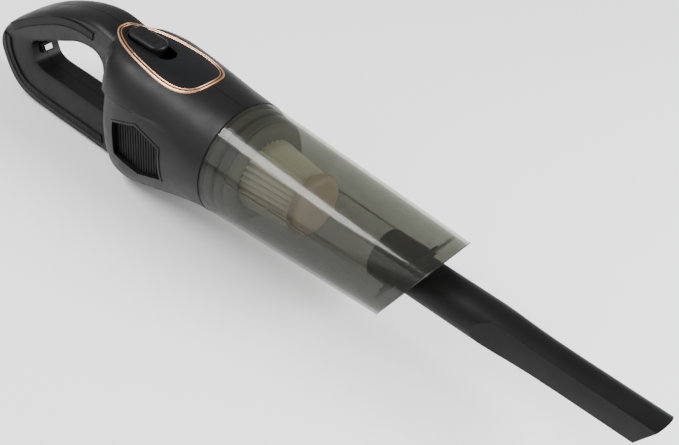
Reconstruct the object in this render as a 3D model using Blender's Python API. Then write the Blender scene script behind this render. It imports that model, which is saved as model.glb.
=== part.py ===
"""Handheld vacuum cleaner: loop-handled motor housing, clear dust cup, cone filter and crevice tool.

Design frame: X runs along the cup's axis towards the nose, Z is up, and the origin is where the
cup meets the housing. The finished model is shifted so that the origin is under its middle.
"""

import math

import bmesh
import bpy
from mathutils import Vector

MM = 0.001

# Fits
GAP = 0.3 * MM
SPLIT = 0.3 * MM
SPLIT_OVERLAP = 2.0 * MM
WALL = 2.4 * MM

# Motor housing: stations from the cup joint back to the handle
JOINT_RADIUS = 41.0 * MM
BODY_LENGTH = 124.0 * MM
BODY_TOP = 45.0 * MM
BASE_DEPTH = 62.0 * MM
BODY_HALF_WIDTH = 39.5 * MM
BODY_SIDES = 38

# Loop handle
HANDLE_REACH = 249.5 * MM
HANDLE_HALF_WIDTH = 15.2 * MM
HOLE_THROAT_HALF = 11.5 * MM
TRIM_THICK = 1.0 * MM
TRIM_WIDTH = 7.0 * MM

# Exhaust windows
VENT_CENTRE_X = -62.5 * MM
VENT_CENTRE_Z = -9.5 * MM
VENT_HALF_WIDTH = 26.0 * MM
VENT_SIDE_HALF = 14.5 * MM
VENT_PEAK = 8.0 * MM
VENT_RISE = 0.11
VENT_SLATS = 8
GRILLE_INNER_Y = 35.2 * MM
GRILLE_THICK = 2.4 * MM
FOAM_THICK = 3.0 * MM

# Control panel and slide switch
PANEL_REAR = -119.0 * MM
PANEL_FRONT = -30.5 * MM
PANEL_HALF_WIDTH = 27.0 * MM
PANEL_RAISE = 1.0 * MM
RING_WIDTH = 1.4 * MM
INNER_RING_WIDTH = 0.8 * MM
RING_SPACE = 1.2 * MM
SWITCH_X = -89.0 * MM
SWITCH_SLOT = (26.0 * MM, 8.0 * MM)
SWITCH_TRAVEL = 8.0 * MM
SWITCH_MARGIN = 1.5 * MM
KNOB_LENGTH = 33.0 * MM
KNOB_WIDTH = 14.0 * MM
KNOB_HEIGHT = 3.6 * MM

# Dust cup
CUP_JOINT_RADIUS = 40.6 * MM
CUP_TAPER = 0.0455
CUP_WALL = 2.0 * MM
MOUTH_X = 154.7 * MM
MOUTH_SLOPE = 0.561
FRONT_WALL_SETBACK = 9.0 * MM
FRONT_WALL_THICK = 2.0 * MM
ROUND_SIDES = 48

# Inlet and crevice tool
TUBE_RADIUS = 14.0 * MM
TUBE_WALL = 1.8 * MM
DUCT_WALL = 2.4 * MM
DUCT_INNER_X = 123.0 * MM
TUBE_INNER_X = 126.0 * MM
TUBE_END_X = 205.0 * MM
BLADE_X = 240.0 * MM
TIP_X = 313.0 * MM
TIP_SLOPE = 0.6
BLADE_HALF_WIDTH = 8.5 * MM
BLADE_HALF_HEIGHT = 12.0 * MM
BLADE_CORNER = 3.5 * MM

# Spigot that carries the cup and the filter
SPIGOT_LENGTH = 17.5 * MM
SPIGOT_WALL = 2.4 * MM
SPIGOT_BORE = 27.0 * MM
SEAL_WIDTH = 3.0 * MM
LUG_X = 5.0 * MM
LUG_SIZE = (4.4 * MM, 8.0 * MM, 2.0 * MM)
LUG_ANGLES = (90, 210, 330)
LUG_PLAY = 0.7 * MM

# Filter
FILTER_BASE_RADIUS = 25.4 * MM
FILTER_TIP_RADIUS = 20.7 * MM
FILTER_TIP_X = 60.0 * MM
PLEATS = 30
PLEAT_DEPTH = 2.6 * MM
MEDIA_WALL = 0.9 * MM
FLANGE_THICK = 3.0 * MM
FLANGE_LIP = 1.2 * MM
CAP_THICK = 7.0 * MM

# Motor and fan
MOTOR_RADIUS = 15.5 * MM
MOTOR_LENGTH = 40.0 * MM
MOTOR_FRONT_X = -24.0 * MM
SHAFT_RADIUS = 1.6 * MM
SHAFT_CLEARANCE = 0.3 * MM
FAN_RADIUS = 27.0 * MM
FAN_FRONT_X = -7.0 * MM
FAN_THICK = 9.0 * MM
FAN_BLADES = 9

# Battery and electronics
CELL_RADIUS = 9.1 * MM
CELL_LENGTH = 65.0 * MM
CELL_X = -77.0 * MM
CELL_Z = -35.0 * MM
CELL_SPACING = 1.0 * MM
STOP_THICK = 2.0 * MM
BOARD_SIZE = (34.0 * MM, 22.0 * MM, 1.6 * MM)

SCREW_RADIUS = 1.5 * MM
SCREW_HEAD_RADIUS = 2.8 * MM
SCREW_HEAD = 1.8 * MM
SCREW_SIDES = 12
BOSS_RADIUS = 4.2 * MM
BOSS_SEAT = 2.8 * MM

# Side outline of the handle's outer edge, from the top of the body round to its base
OUTER_LINE = [
    (-108, 43), (-130, 47.3), (-150, 44.6), (-173, 37), (-197, 25.8), (-219, 12), (-237, -2),
    (-246.5, -13.5), (-249.5, -25), (-246, -37), (-240, -48.5), (-230, -57.5), (-216, -61.4),
    (-200, -62), (-150, -62), (-108, -62),
]
# The finger hole at the handle's side face, and its narrower throat, matched point for point
HOLE_RIM = [
    (-121, -43), (-121, 12), (-124, 25), (-134, 32), (-150, 32), (-171, 26.5), (-190, 17.5),
    (-210, 6.5), (-226, -4), (-233, -13), (-232.5, -23), (-228, -34), (-220, -42.5), (-208, -46),
    (-170, -46.5), (-130, -46.5),
]
HOLE_THROAT = [
    (-128, -25), (-128, 8), (-130, 17), (-138, 21.5), (-155, 19.5), (-171, 12.5), (-186, 5.5),
    (-200, -1.5), (-209, -6), (-212.5, -11), (-212, -17), (-209, -24), (-204, -27), (-196, -28),
    (-170, -28), (-133, -28),
]
# Trim bands on the handle's side faces: first and last point of HOLE_RIM that each one follows
UPPER_TRIM = (3, 8)
LOWER_TRIM = (9, 15)

FLOOR_SHIFT = BASE_DEPTH
TIP_TOP_X = TIP_X + TIP_SLOPE * BLADE_HALF_HEIGHT
CENTRE_SHIFT = (TIP_TOP_X - HANDLE_REACH) / 2

SPIGOT_RADIUS = CUP_JOINT_RADIUS - CUP_TAPER * SPIGOT_LENGTH - CUP_WALL - GAP
DUCT_BORE = TUBE_RADIUS + GAP
DUCT_RADIUS = DUCT_BORE + DUCT_WALL
SIDE_FACE = HANDLE_HALF_WIDTH + GAP


# ---------------------------------------------------------------- scene and materials


def clear_scene():
    for obj in list(bpy.data.objects):
        bpy.data.objects.remove(obj)


def make_material(name, colour, roughness, metallic=0.0, alpha=1.0):
    material = bpy.data.materials.new(name)
    material.use_nodes = True
    shader = material.node_tree.nodes["Principled BSDF"]
    shader.inputs["Base Color"].default_value = (*colour, 1.0)
    shader.inputs["Roughness"].default_value = roughness
    shader.inputs["Metallic"].default_value = metallic
    shader.inputs["Alpha"].default_value = alpha
    return material


def frame_empty():
    """The parent of every piece: it carries the shift from the design frame to the part's frame."""
    frame = bpy.data.objects.new("vacuum_frame", None)
    frame.location = (-CENTRE_SHIFT, 0, FLOOR_SHIFT)
    bpy.context.scene.collection.objects.link(frame)
    return frame


def add_piece(name, mesh, material, frame, axis_point=(0, 0, 0)):
    """Place a mesh made in the design frame, with its origin moved to axis_point."""
    obj = bpy.data.objects.new(name, mesh)
    offset = Vector(axis_point)
    for vertex in mesh.vertices:
        vertex.co -= offset
    obj.location = offset
    obj.parent = frame
    if material:
        mesh.materials.append(material)
    mesh.shade_smooth()
    mesh.set_sharp_from_angle(angle=math.radians(35))
    bpy.context.scene.collection.objects.link(obj)
    return obj


def add_cutter(name, mesh, frame):
    cutter = add_piece(name, mesh, None, frame)
    cutter.hide_render = True
    cutter.display_type = "WIRE"
    return cutter


def boolean(obj, other, operation):
    modifier = obj.modifiers.new(f"{operation.lower()} {other.name}", "BOOLEAN")
    modifier.operation = operation
    modifier.solver = "EXACT"
    modifier.object = other


# ---------------------------------------------------------------- mesh building


def finish_mesh(name, bm):
    bmesh.ops.recalc_face_normals(bm, faces=bm.faces)
    mesh = bpy.data.meshes.new(name)
    bm.to_mesh(mesh)
    bm.free()
    return mesh


def skin_rings(name, rings, closed=False):
    """A closed solid through rings of equal length: capped at both ends, or joined end to end."""
    bm = bmesh.new()
    loops = [[bm.verts.new(point) for point in ring] for ring in rings]
    pairs = list(zip(loops, loops[1:]))
    if closed:
        pairs.append((loops[-1], loops[0]))
    else:
        bm.faces.new(loops[0])
        bm.faces.new(loops[-1])
    for first, second in pairs:
        for i in range(len(first)):
            j = (i + 1) % len(first)
            bm.faces.new((first[i], first[j], second[j], second[i]))
    return finish_mesh(name, bm)


def ring_about_x(x, radius, sides=ROUND_SIDES, y=0.0, z=0.0):
    turns = [2 * math.pi * i / sides for i in range(sides)]
    return [(x, y + radius * math.sin(a), z + radius * math.cos(a)) for a in turns]


def turned_solid(name, stations, sides=ROUND_SIDES, y=0.0, z=0.0):
    """A solid turned about an X line through (y, z), from (x, radius) stations."""
    return skin_rings(name, [ring_about_x(x, r, sides, y, z) for x, r in stations])


def turned_ring(name, profile, sides=ROUND_SIDES, y=0.0, z=0.0):
    """A hollow turned piece: a closed (x, radius) profile taken round an X line."""
    rings = [ring_about_x(x, r, sides, y, z) for x, r in profile]
    return skin_rings(name, rings, closed=True)


def tube_ring(name, x0, x1, outer, inner, sides=ROUND_SIDES, y=0.0, z=0.0):
    return turned_ring(name, [(x0, outer), (x1, outer), (x1, inner), (x0, inner)], sides, y, z)


def box(name, low, high):
    bm = bmesh.new()
    bmesh.ops.create_cube(bm, size=1.0)
    for vertex in bm.verts:
        for i in range(3):
            vertex.co[i] = low[i] if vertex.co[i] < 0 else high[i]
    return finish_mesh(name, bm)


def side_prism(name, outline, y0, y1):
    """An outline in the XZ plane, extruded along Y."""
    return skin_rings(name, [[(x, y, z) for x, z in outline] for y in (y0, y1)])


def smooth_line(points, steps, closed=False):
    """Catmull-Rom curve through points, with this many steps between two of them."""
    count = len(points)
    spans = count if closed else count - 1

    def pick(i):
        return points[i % count] if closed else points[min(max(i, 0), count - 1)]

    line = []
    for span in range(spans):
        a, b, c, d = (Vector(pick(span + k)) for k in (-1, 0, 1, 2))
        for step in range(steps):
            t = step / steps
            line.append(
                0.5 * (2 * b + (c - a) * t + (2 * a - 5 * b + 4 * c - d) * t * t
                       + (3 * b - a - 3 * c + d) * t ** 3)
            )
    if not closed:
        line.append(Vector(points[-1]))
    return [tuple(point) for point in line]


def offset_outline(outline, distance):
    """Move each point of a closed outline along its inward normal by distance."""
    area = sum(a[0] * b[1] - b[0] * a[1] for a, b in zip(outline, outline[1:] + outline[:1]))
    inward = 1.0 if area > 0 else -1.0
    moved = []
    for i, point in enumerate(outline):
        before = Vector(outline[i - 1])
        after = Vector(outline[(i + 1) % len(outline)])
        along = (after - before).normalized()
        moved.append((point[0] - inward * along.y * distance, point[1] + inward * along.x * distance))
    return moved


def in_mm(points):
    return [(x * MM, z * MM) for x, z in points]


# ---------------------------------------------------------------- motor housing


def body_stations():
    """(x, half width, top, bottom, squareness) from the cup joint to the handle."""
    r = JOINT_RADIUS
    w = BODY_HALF_WIDTH
    t = BODY_TOP
    b = BASE_DEPTH
    h = HANDLE_HALF_WIDTH
    end = -BODY_LENGTH
    return [
        (0.0, r, r, r, 2.0),
        (end * 0.06, r, r, r + 0.6 * MM, 2.0),
        (end * 0.16, r + 0.1 * MM, r + 0.3 * MM, r + 2.8 * MM, 2.0),
        (end * 0.28, r + 0.3 * MM, t - 2.0 * MM, b - 14.5 * MM, 2.2),
        (end * 0.42, w + 1.4 * MM, t - 0.7 * MM, b - 9.5 * MM, 2.5),
        (end * 0.56, w + 1.2 * MM, t - 0.2 * MM, b - 5.0 * MM, 2.8),
        (end * 0.68, w + 0.7 * MM, t, b - 1.5 * MM, 3.3),
        (end * 0.78, w, t, b - 0.2 * MM, 3.5),
        (end * 0.83, w - 3.5 * MM, t + 0.2 * MM, b - 0.2 * MM, 3.5),
        (end * 0.89, (w + h) / 2, t + 0.6 * MM, b - 0.2 * MM, 3.4),
        (end * 0.95, h + 2.4 * MM, t + 1.3 * MM, b - 0.3 * MM, 3.2),
        (end, h - 0.5 * MM, t + 1.5 * MM, b - 0.5 * MM, 3.0),
    ]


def body_ring(x, half_width, top, bottom, squareness, inset=0.0):
    ring = []
    for i in range(BODY_SIDES):
        angle = 2 * math.pi * i / BODY_SIDES
        c, s = math.cos(angle), math.sin(angle)
        power = 2.0 / squareness
        height = top if s > 0 else bottom
        y = math.copysign(abs(c) ** power, c) * (half_width - inset)
        z = math.copysign(abs(s) ** power, s) * (height - inset)
        ring.append((x, y, z))
    return ring


def body_half_ring(station, sign):
    """One side of a body section, with an overlap past the middle that the split trims off."""
    ring = [(x, sign * y, z) for x, y, z in body_ring(*station) if y > SPLIT]
    low = [point for point in ring if point[2] < 0]
    high = [point for point in ring if point[2] >= 0]
    x, _, top, bottom, _ = station
    edge = -sign * SPLIT_OVERLAP
    return [(x, edge, -bottom), *low, *high, (x, edge, top)]


def body_at(x):
    """Half width, top height and squareness of the housing's section at x."""
    stations = body_stations()
    for near, far in zip(stations, stations[1:]):
        if far[0] <= x <= near[0]:
            t = (near[0] - x) / (near[0] - far[0])
            return [a + (b - a) * t for a, b in zip(near[1:], far[1:])]
    raise ValueError("x is outside the housing's body")


def body_top_height(x, y):
    half_width, top, _, squareness = body_at(x)
    share = min(abs(y) / half_width, 0.98)
    return top * (1 - share ** squareness) ** (1 / squareness)


def handle_rings(inset, sign):
    """One half of the handle's slab: side outlines stacked along Y, drawn in towards the face."""
    outline = smooth_line(in_mm(OUTER_LINE), 2)
    half = HANDLE_HALF_WIDTH - inset
    start = -(SPLIT_OVERLAP + 1.0 * MM)
    rings = []
    for y, depth in ((start, 0.0), (half * 0.45, 0.0), (half * 0.76, 1.0), (half * 0.93, 3.2), (half, 6.0)):
        moved = offset_outline(outline, depth * MM + inset)
        rings.append([(x, sign * y, z) for x, z in moved])
    return rings


def hole_rings(grow):
    """The finger hole: a throat that flares to the rim at both side faces."""
    rim = offset_outline(smooth_line(in_mm(HOLE_RIM), 2, closed=True), -grow)
    throat = offset_outline(smooth_line(in_mm(HOLE_THROAT), 2, closed=True), -grow)
    face = HANDLE_HALF_WIDTH
    reach = face + 8.0 * MM
    levels = [(-reach, rim), (-face, rim), (-HOLE_THROAT_HALF, throat)]
    levels += [(HOLE_THROAT_HALF, throat), (face, rim), (reach, rim)]
    return [[(x, y, z) for x, z in outline] for y, outline in levels]


def vent_outline(grow=0.0):
    """Six-sided exhaust window, drawn in the XZ plane."""
    w = VENT_HALF_WIDTH + grow
    s = VENT_SIDE_HALF + grow * 0.5
    p = VENT_SIDE_HALF + VENT_PEAK + grow
    points = [(-w, -s), (0, -p), (w, -s), (w, s), (0, p), (-w, s)]
    return [(VENT_CENTRE_X + x, VENT_CENTRE_Z + z + VENT_RISE * x) for x, z in points]


def screw_places():
    """(x, z, half length) of the screws that join the two half shells."""
    in_handle = HANDLE_HALF_WIDTH - WALL - 2.5 * MM
    return [
        (-24.0 * MM, 33.0 * MM, 18.0 * MM),
        (-222.0 * MM, -18.0 * MM, in_handle),
        (-160.0 * MM, -36.5 * MM, in_handle),
        (-203.0 * MM, 3.5 * MM, in_handle),
    ]


def rod_along_y(name, x, z, radius, y0, y1):
    turns = [2 * math.pi * k / SCREW_SIDES for k in range(SCREW_SIDES)]
    outline = [(x + radius * math.cos(a), z + radius * math.sin(a)) for a in turns]
    return side_prism(name, outline, y0, y1)


def add_bosses(shell, side, sign, frame):
    """Screw bosses inside one half shell, bored through, with head recesses in the left one."""
    for i, (x, z, half) in enumerate(screw_places()):
        boss_name = f"screw_boss_{side}_{i + 1}"
        boss = rod_along_y(boss_name, x, z, BOSS_RADIUS, -sign * SPLIT_OVERLAP, sign * (half + BOSS_SEAT))
        boolean(shell, add_cutter(boss_name, boss, frame), "UNION")
        bore_name = f"screw_bore_{side}_{i + 1}"
        bore = rod_along_y(bore_name, x, z, SCREW_RADIUS + GAP, -half - GAP, half + GAP)
        boolean(shell, add_cutter(bore_name, bore, frame), "DIFFERENCE")
        if side == "left":
            recess_name = f"screw_recess_{i + 1}"
            seat = half - SCREW_HEAD - GAP
            recess = rod_along_y(recess_name, x, z, SCREW_HEAD_RADIUS + GAP, seat, BODY_HALF_WIDTH)
            boolean(shell, add_cutter(recess_name, recess, frame), "DIFFERENCE")


def make_housing(frame, material):
    """Two half shells, split on the middle plane, with one cavity shared between them."""
    stations = body_stations()
    cavity_stations = list(stations)
    cavity_stations[0] = (1.0 * MM, *stations[0][1:])
    cavity_stations[-1] = (-BODY_LENGTH + WALL, *stations[-1][1:])
    cavity = add_cutter(
        "body_cavity", skin_rings("body_cavity", [body_ring(*s, inset=WALL) for s in cavity_stations]), frame
    )
    hole = add_cutter("finger_hole", skin_rings("finger_hole", hole_rings(0.0)), frame)
    hole_wall = add_cutter("finger_hole_wall", skin_rings("finger_hole_wall", hole_rings(WALL)), frame)
    vents = add_cutter(
        "vent_windows", side_prism("vent_windows", vent_outline(), -60 * MM, 60 * MM), frame
    )
    slot_length, slot_width = SWITCH_SLOT
    switch_slot = add_cutter(
        "switch_slot",
        box(
            "switch_slot",
            (SWITCH_X - slot_length / 2, -slot_width / 2, BODY_TOP - 12 * MM),
            (SWITCH_X + slot_length / 2, slot_width / 2, BODY_TOP + 10 * MM),
        ),
        frame,
    )
    socket_hole = add_cutter("socket_hole", socket_mesh("socket_hole", GAP, 30 * MM), frame)
    for side, sign in {"right": -1, "left": 1}.items():
        name = f"housing_{side}"
        half_rings = [body_half_ring(station, sign) for station in stations]
        shell = add_piece(name, skin_rings(name, half_rings), material, frame)
        slab_name = f"handle_slab_{side}"
        slab = add_cutter(slab_name, skin_rings(slab_name, handle_rings(0.0, sign)), frame)
        core_name = f"handle_cavity_{side}"
        core = add_cutter(core_name, skin_rings(core_name, handle_rings(WALL, sign)), frame)
        boolean(core, cavity, "UNION")
        boolean(core, hole_wall, "DIFFERENCE")
        boolean(shell, slab, "UNION")
        boolean(shell, hole, "DIFFERENCE")
        boolean(shell, core, "DIFFERENCE")
        add_bosses(shell, side, sign, frame)
        boolean(shell, vents, "DIFFERENCE")
        boolean(shell, switch_slot, "DIFFERENCE")
        boolean(shell, socket_hole, "DIFFERENCE")
        reach = HANDLE_REACH + BODY_LENGTH
        trim = box(f"split_{side}", (-reach, -reach, -reach), (reach, SPLIT / 2, reach))
        trim_off = add_cutter(trim.name, trim, frame)
        trim_off.rotation_euler = (0, 0, 0 if sign > 0 else math.pi)
        boolean(shell, trim_off, "DIFFERENCE")


def make_trims(frame, material):
    """Thin bands laid on the handle's side faces, round the finger hole."""
    rim = in_mm(HOLE_RIM)
    inner = offset_outline(rim, -0.6 * MM)
    outer = offset_outline(rim, -TRIM_WIDTH)
    for name, (first, last) in {"grip_trim_upper": UPPER_TRIM, "grip_trim_lower": LOWER_TRIM}.items():
        near = smooth_line(inner[first:last + 1], 3)
        far = smooth_line(outer[first:last + 1], 3)
        for side, sign in {"right": -1, "left": 1}.items():
            y0 = sign * SIDE_FACE
            y1 = sign * (SIDE_FACE + TRIM_THICK)
            rings = [
                [(a[0], y0, a[1]), (b[0], y0, b[1]), (b[0], y1, b[1]), (a[0], y1, a[1])]
                for a, b in zip(near, far)
            ]
            add_piece(f"{name}_{side}", skin_rings(name, rings), material, frame)


def make_exhaust(frame, grille_material, foam_material):
    """Slatted grilles in the exhaust windows, each backed by a foam pad."""
    outline = vent_outline(-GAP)
    for side, sign in {"right": -1, "left": 1}.items():
        y0 = sign * GRILLE_INNER_Y
        y1 = sign * (GRILLE_INNER_Y + GRILLE_THICK)
        grille = add_piece(
            f"exhaust_grille_{side}", side_prism("exhaust_grille", outline, y0, y1), grille_material, frame
        )
        pitch = 2 * (VENT_HALF_WIDTH - 3 * MM) / VENT_SLATS
        for i in range(VENT_SLATS):
            x = VENT_CENTRE_X + (i - (VENT_SLATS - 1) / 2) * pitch
            share = abs(x - VENT_CENTRE_X) / VENT_HALF_WIDTH
            half = VENT_SIDE_HALF + VENT_PEAK * (1 - share) - 3.5 * MM
            middle = VENT_CENTRE_Z + VENT_RISE * (x - VENT_CENTRE_X)
            name = f"slat_gap_{side}_{i}"
            gap_box = box(
                name,
                (x - pitch * 0.28, min(y0, y1) - 1 * MM, middle - half),
                (x + pitch * 0.28, max(y0, y1) + 1 * MM, middle + half),
            )
            boolean(grille, add_cutter(name, gap_box, frame), "DIFFERENCE")
        back = sign * (GRILLE_INNER_Y - GAP)
        foam = side_prism("exhaust_foam", vent_outline(-2 * MM), back, back - sign * FOAM_THICK)
        add_piece(f"exhaust_foam_{side}", foam, foam_material, frame)


# ---------------------------------------------------------------- control panel and switch


def panel_outline(inset, steps=40):
    """Drop-shaped outline: a small round at the rear that widens to a broad round front."""
    length = PANEL_FRONT - PANEL_REAR
    middle = (PANEL_FRONT + PANEL_REAR) / 2
    points = []
    for i in range(steps):
        angle = 2 * math.pi * i / steps
        c, s = math.cos(angle), math.sin(angle)
        x = middle + (length / 2 - inset) * math.copysign(abs(c) ** 0.85, c)
        widen = 0.77 + 0.23 * math.copysign(abs(c) ** 0.9, c)
        y = (PANEL_HALF_WIDTH * widen - inset) * math.copysign(abs(s) ** 0.72, s)
        points.append((x, y))
    return points


def conformal_ring(outline, lift):
    return [(x, y, body_top_height(x, y) + lift) for x, y in outline]


def conformal_band(name, inset, width, low, high):
    """A closed band that follows the housing's top surface between two outlines."""
    outer = panel_outline(inset)
    inner = panel_outline(inset + width)
    rings = [
        conformal_ring(outer, low), conformal_ring(outer, high),
        conformal_ring(inner, high), conformal_ring(inner, low),
    ]
    return skin_rings(name, rings, closed=True)


def conformal_plate(name, inset, low, high):
    """A plate that follows the housing's top surface inside one outline."""
    bm = bmesh.new()
    shares = [1.0, 0.75, 0.5, 0.25]
    middle = (PANEL_FRONT + PANEL_REAR) / 2
    outline = panel_outline(inset)
    layers = []
    for lift in (low, high):
        loops = []
        for share in shares:
            shrunk = [(middle + (x - middle) * share, y * share) for x, y in outline]
            loops.append([bm.verts.new(p) for p in conformal_ring(shrunk, lift)])
        centre = bm.verts.new((middle, 0, body_top_height(middle, 0) + lift))
        for first, second in zip(loops, loops[1:]):
            for i in range(len(first)):
                j = (i + 1) % len(first)
                bm.faces.new((first[i], first[j], second[j], second[i]))
        for i in range(len(outline)):
            bm.faces.new((loops[-1][i], loops[-1][(i + 1) % len(outline)], centre))
        layers.append(loops[0])
    bottom, top = layers
    for i in range(len(outline)):
        j = (i + 1) % len(outline)
        bm.faces.new((bottom[i], bottom[j], top[j], top[i]))
    return finish_mesh(name, bm)


def stadium(x, length, width, steps=8):
    """A slot shape with round ends, along X."""
    r = width / 2
    points = []
    for end, start in ((length / 2 - r, -math.pi / 2), (r - length / 2, math.pi / 2)):
        for i in range(steps + 1):
            angle = start + math.pi * i / steps
            points.append((x + end + r * math.cos(angle), r * math.sin(angle)))
    return points


def make_panel(frame, panel_material, copper, knob_material):
    low = GAP
    high = GAP + PANEL_RAISE
    add_piece("panel_ring_outer", conformal_band("panel_ring_outer", 0, RING_WIDTH, low, high), copper, frame)
    inner_start = RING_WIDTH + RING_SPACE
    spacer_start = RING_WIDTH + GAP / 2
    spacer_width = RING_SPACE - GAP
    add_piece(
        "panel_ring_spacer",
        conformal_band("panel_ring_spacer", spacer_start, spacer_width, low, high - 0.2 * MM),
        panel_material,
        frame,
    )
    add_piece(
        "panel_ring_inner",
        conformal_band("panel_ring_inner", inner_start, INNER_RING_WIDTH, low, high),
        copper,
        frame,
    )
    panel = add_piece(
        "control_panel",
        conformal_plate("control_panel", inner_start + INNER_RING_WIDTH + GAP / 2, low, high),
        panel_material,
        frame,
    )
    window_length = KNOB_LENGTH + SWITCH_TRAVEL + 2 * SWITCH_MARGIN
    window_outline = stadium(SWITCH_X, window_length, KNOB_WIDTH + 2 * SWITCH_MARGIN)
    reach = 10 * MM
    window = skin_rings(
        "panel_window", [[(x, y, BODY_TOP + z) for x, y in window_outline] for z in (-reach, reach)]
    )
    boolean(panel, add_cutter("panel_window", window, frame), "DIFFERENCE")

    slot_length, slot_width = SWITCH_SLOT
    knob_x = SWITCH_X - SWITCH_TRAVEL / 2
    base = BODY_TOP + PANEL_RAISE
    levels = [(0.0, 0.0), (0.6, 0.0), (0.9, 0.8), (1.0, 2.4)]
    rings = []
    for share, inset in levels:
        outline = stadium(knob_x, KNOB_LENGTH - 2 * inset * MM, KNOB_WIDTH - 2 * inset * MM)
        rings.append([(x, y, base + share * KNOB_HEIGHT) for x, y in outline])
    rest = (knob_x, 0, base)
    knob = add_piece("switch_knob", skin_rings("switch_knob", rings), knob_material, frame, rest)
    stem_half = (slot_length - SWITCH_TRAVEL - 4 * GAP) / 2
    stem = box(
        "switch_stem",
        (knob_x - stem_half, -slot_width / 2 + GAP, BODY_TOP - 5 * MM),
        (knob_x + stem_half, slot_width / 2 - GAP, base + 0.5 * MM),
    )
    boolean(knob, add_cutter("switch_stem", stem, frame), "UNION")
    plate = box(
        "switch_slider",
        (knob_x - stem_half - 2 * MM, -slot_width / 2 - 2 * MM, BODY_TOP - 7 * MM),
        (knob_x + stem_half + 2 * MM, slot_width / 2 + 2 * MM, BODY_TOP - 5 * MM - GAP),
    )
    add_piece("switch_slider", plate, knob_material, frame, rest)
    return BODY_TOP - 7 * MM


# ---------------------------------------------------------------- spigot, seal and filter


def make_spigot(frame, plastic, rubber):
    """Black collar on the housing's front: it centres the cup and holds the filter."""
    inner = SPIGOT_RADIUS - SPIGOT_WALL
    root = -4.0 * MM
    plate = 2.4 * MM
    plug = JOINT_RADIUS - WALL - GAP
    groove0 = SPIGOT_LENGTH - 6.0 * MM - SEAL_WIDTH
    groove1 = SPIGOT_LENGTH - 6.0 * MM
    groove = SPIGOT_RADIUS - 1.2 * MM
    profile = [
        (root, plug), (-GAP, plug), (-GAP, SPIGOT_RADIUS), (groove0, SPIGOT_RADIUS), (groove0, groove),
        (groove1, groove), (groove1, SPIGOT_RADIUS), (SPIGOT_LENGTH, SPIGOT_RADIUS),
        (SPIGOT_LENGTH, inner), (plate, inner), (plate, SPIGOT_BORE - 4 * MM), (root, SPIGOT_BORE - 4 * MM),
    ]
    spigot = add_piece("cup_spigot", turned_ring("cup_spigot", profile), plastic, frame)
    length, width, depth = LUG_SIZE
    for i, angle in enumerate(LUG_ANGLES):
        name = f"lock_lug_{i}"
        lug = box(
            name,
            (LUG_X - length / 2, -width / 2, SPIGOT_RADIUS - depth / 2),
            (LUG_X + length / 2, width / 2, SPIGOT_RADIUS + depth / 2),
        )
        cutter = add_cutter(name, lug, frame)
        cutter.rotation_euler = (-math.radians(angle), 0, 0)
        boolean(spigot, cutter, "UNION")
    seal_profile = [
        (groove0 + GAP, groove + GAP), (groove0 + GAP, SPIGOT_RADIUS + GAP / 2),
        (groove1 - GAP, SPIGOT_RADIUS + GAP / 2), (groove1 - GAP, groove + GAP),
    ]
    add_piece("cup_seal", turned_ring("cup_seal", seal_profile), rubber, frame)
    return inner


def make_filter(frame, bore, paper, flange_material, cap_material):
    """Pleated cone on a flange that plugs into the spigot, with a closed end cap."""
    flange_outer = bore - GAP
    base_x = SPIGOT_LENGTH + GAP
    neck = FILTER_BASE_RADIUS - PLEAT_DEPTH - 2.0 * MM
    profile = [
        (base_x - 8 * MM, flange_outer), (base_x, flange_outer), (base_x, flange_outer + FLANGE_LIP),
        (base_x + FLANGE_THICK, flange_outer - 1 * MM), (base_x + FLANGE_THICK, neck),
        (base_x - 8 * MM, neck),
    ]
    add_piece("filter_flange", turned_ring("filter_flange", profile), flange_material, frame)

    start = base_x + FLANGE_THICK + GAP
    sides = PLEATS * 2

    def pleated(x, radius):
        ring = []
        for i in range(sides):
            angle = 2 * math.pi * i / sides
            r = radius - (PLEAT_DEPTH if i % 2 else 0)
            ring.append((x, r * math.sin(angle), r * math.cos(angle)))
        return ring

    rings = [
        pleated(start, FILTER_BASE_RADIUS), pleated(FILTER_TIP_X, FILTER_TIP_RADIUS),
        pleated(FILTER_TIP_X, FILTER_TIP_RADIUS - MEDIA_WALL), pleated(start, FILTER_BASE_RADIUS - MEDIA_WALL),
    ]
    add_piece("filter_media", skin_rings("filter_media", rings, closed=True), paper, frame)

    cap_x = FILTER_TIP_X + GAP
    r = FILTER_TIP_RADIUS + 0.6 * MM
    cap = [(cap_x, r), (cap_x + CAP_THICK * 0.5, r), (cap_x + CAP_THICK * 0.85, r - 1.2 * MM), (cap_x + CAP_THICK, r - 4 * MM)]
    add_piece("filter_end_cap", turned_solid("filter_end_cap", cap), cap_material, frame)

    cage_gap = PLEAT_DEPTH + MEDIA_WALL + 0.8 * MM
    ring_base = FILTER_BASE_RADIUS - cage_gap
    ring_tip = FILTER_TIP_RADIUS - cage_gap
    profile = [
        (start, ring_base), (FILTER_TIP_X, ring_tip), (FILTER_TIP_X, ring_tip - 1.2 * MM),
        (start, ring_base - 1.2 * MM),
    ]
    cage = add_piece("filter_cage", turned_ring("filter_cage", profile, 32), flange_material, frame)
    window_x = (start + 4 * MM, FILTER_TIP_X - 4 * MM)
    for i in range(4):
        name = f"cage_window_{i}"
        half = 5 * MM
        window = box(name, (window_x[0], -half, -40 * MM), (window_x[1], half, 40 * MM))
        cutter = add_cutter(name, window, frame)
        cutter.rotation_euler = (math.pi * i / 4, 0, 0)
        boolean(cage, cutter, "DIFFERENCE")
    return base_x


# ---------------------------------------------------------------- dust cup, inlet and tool


def cup_radius(x):
    return CUP_JOINT_RADIUS - CUP_TAPER * x


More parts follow.
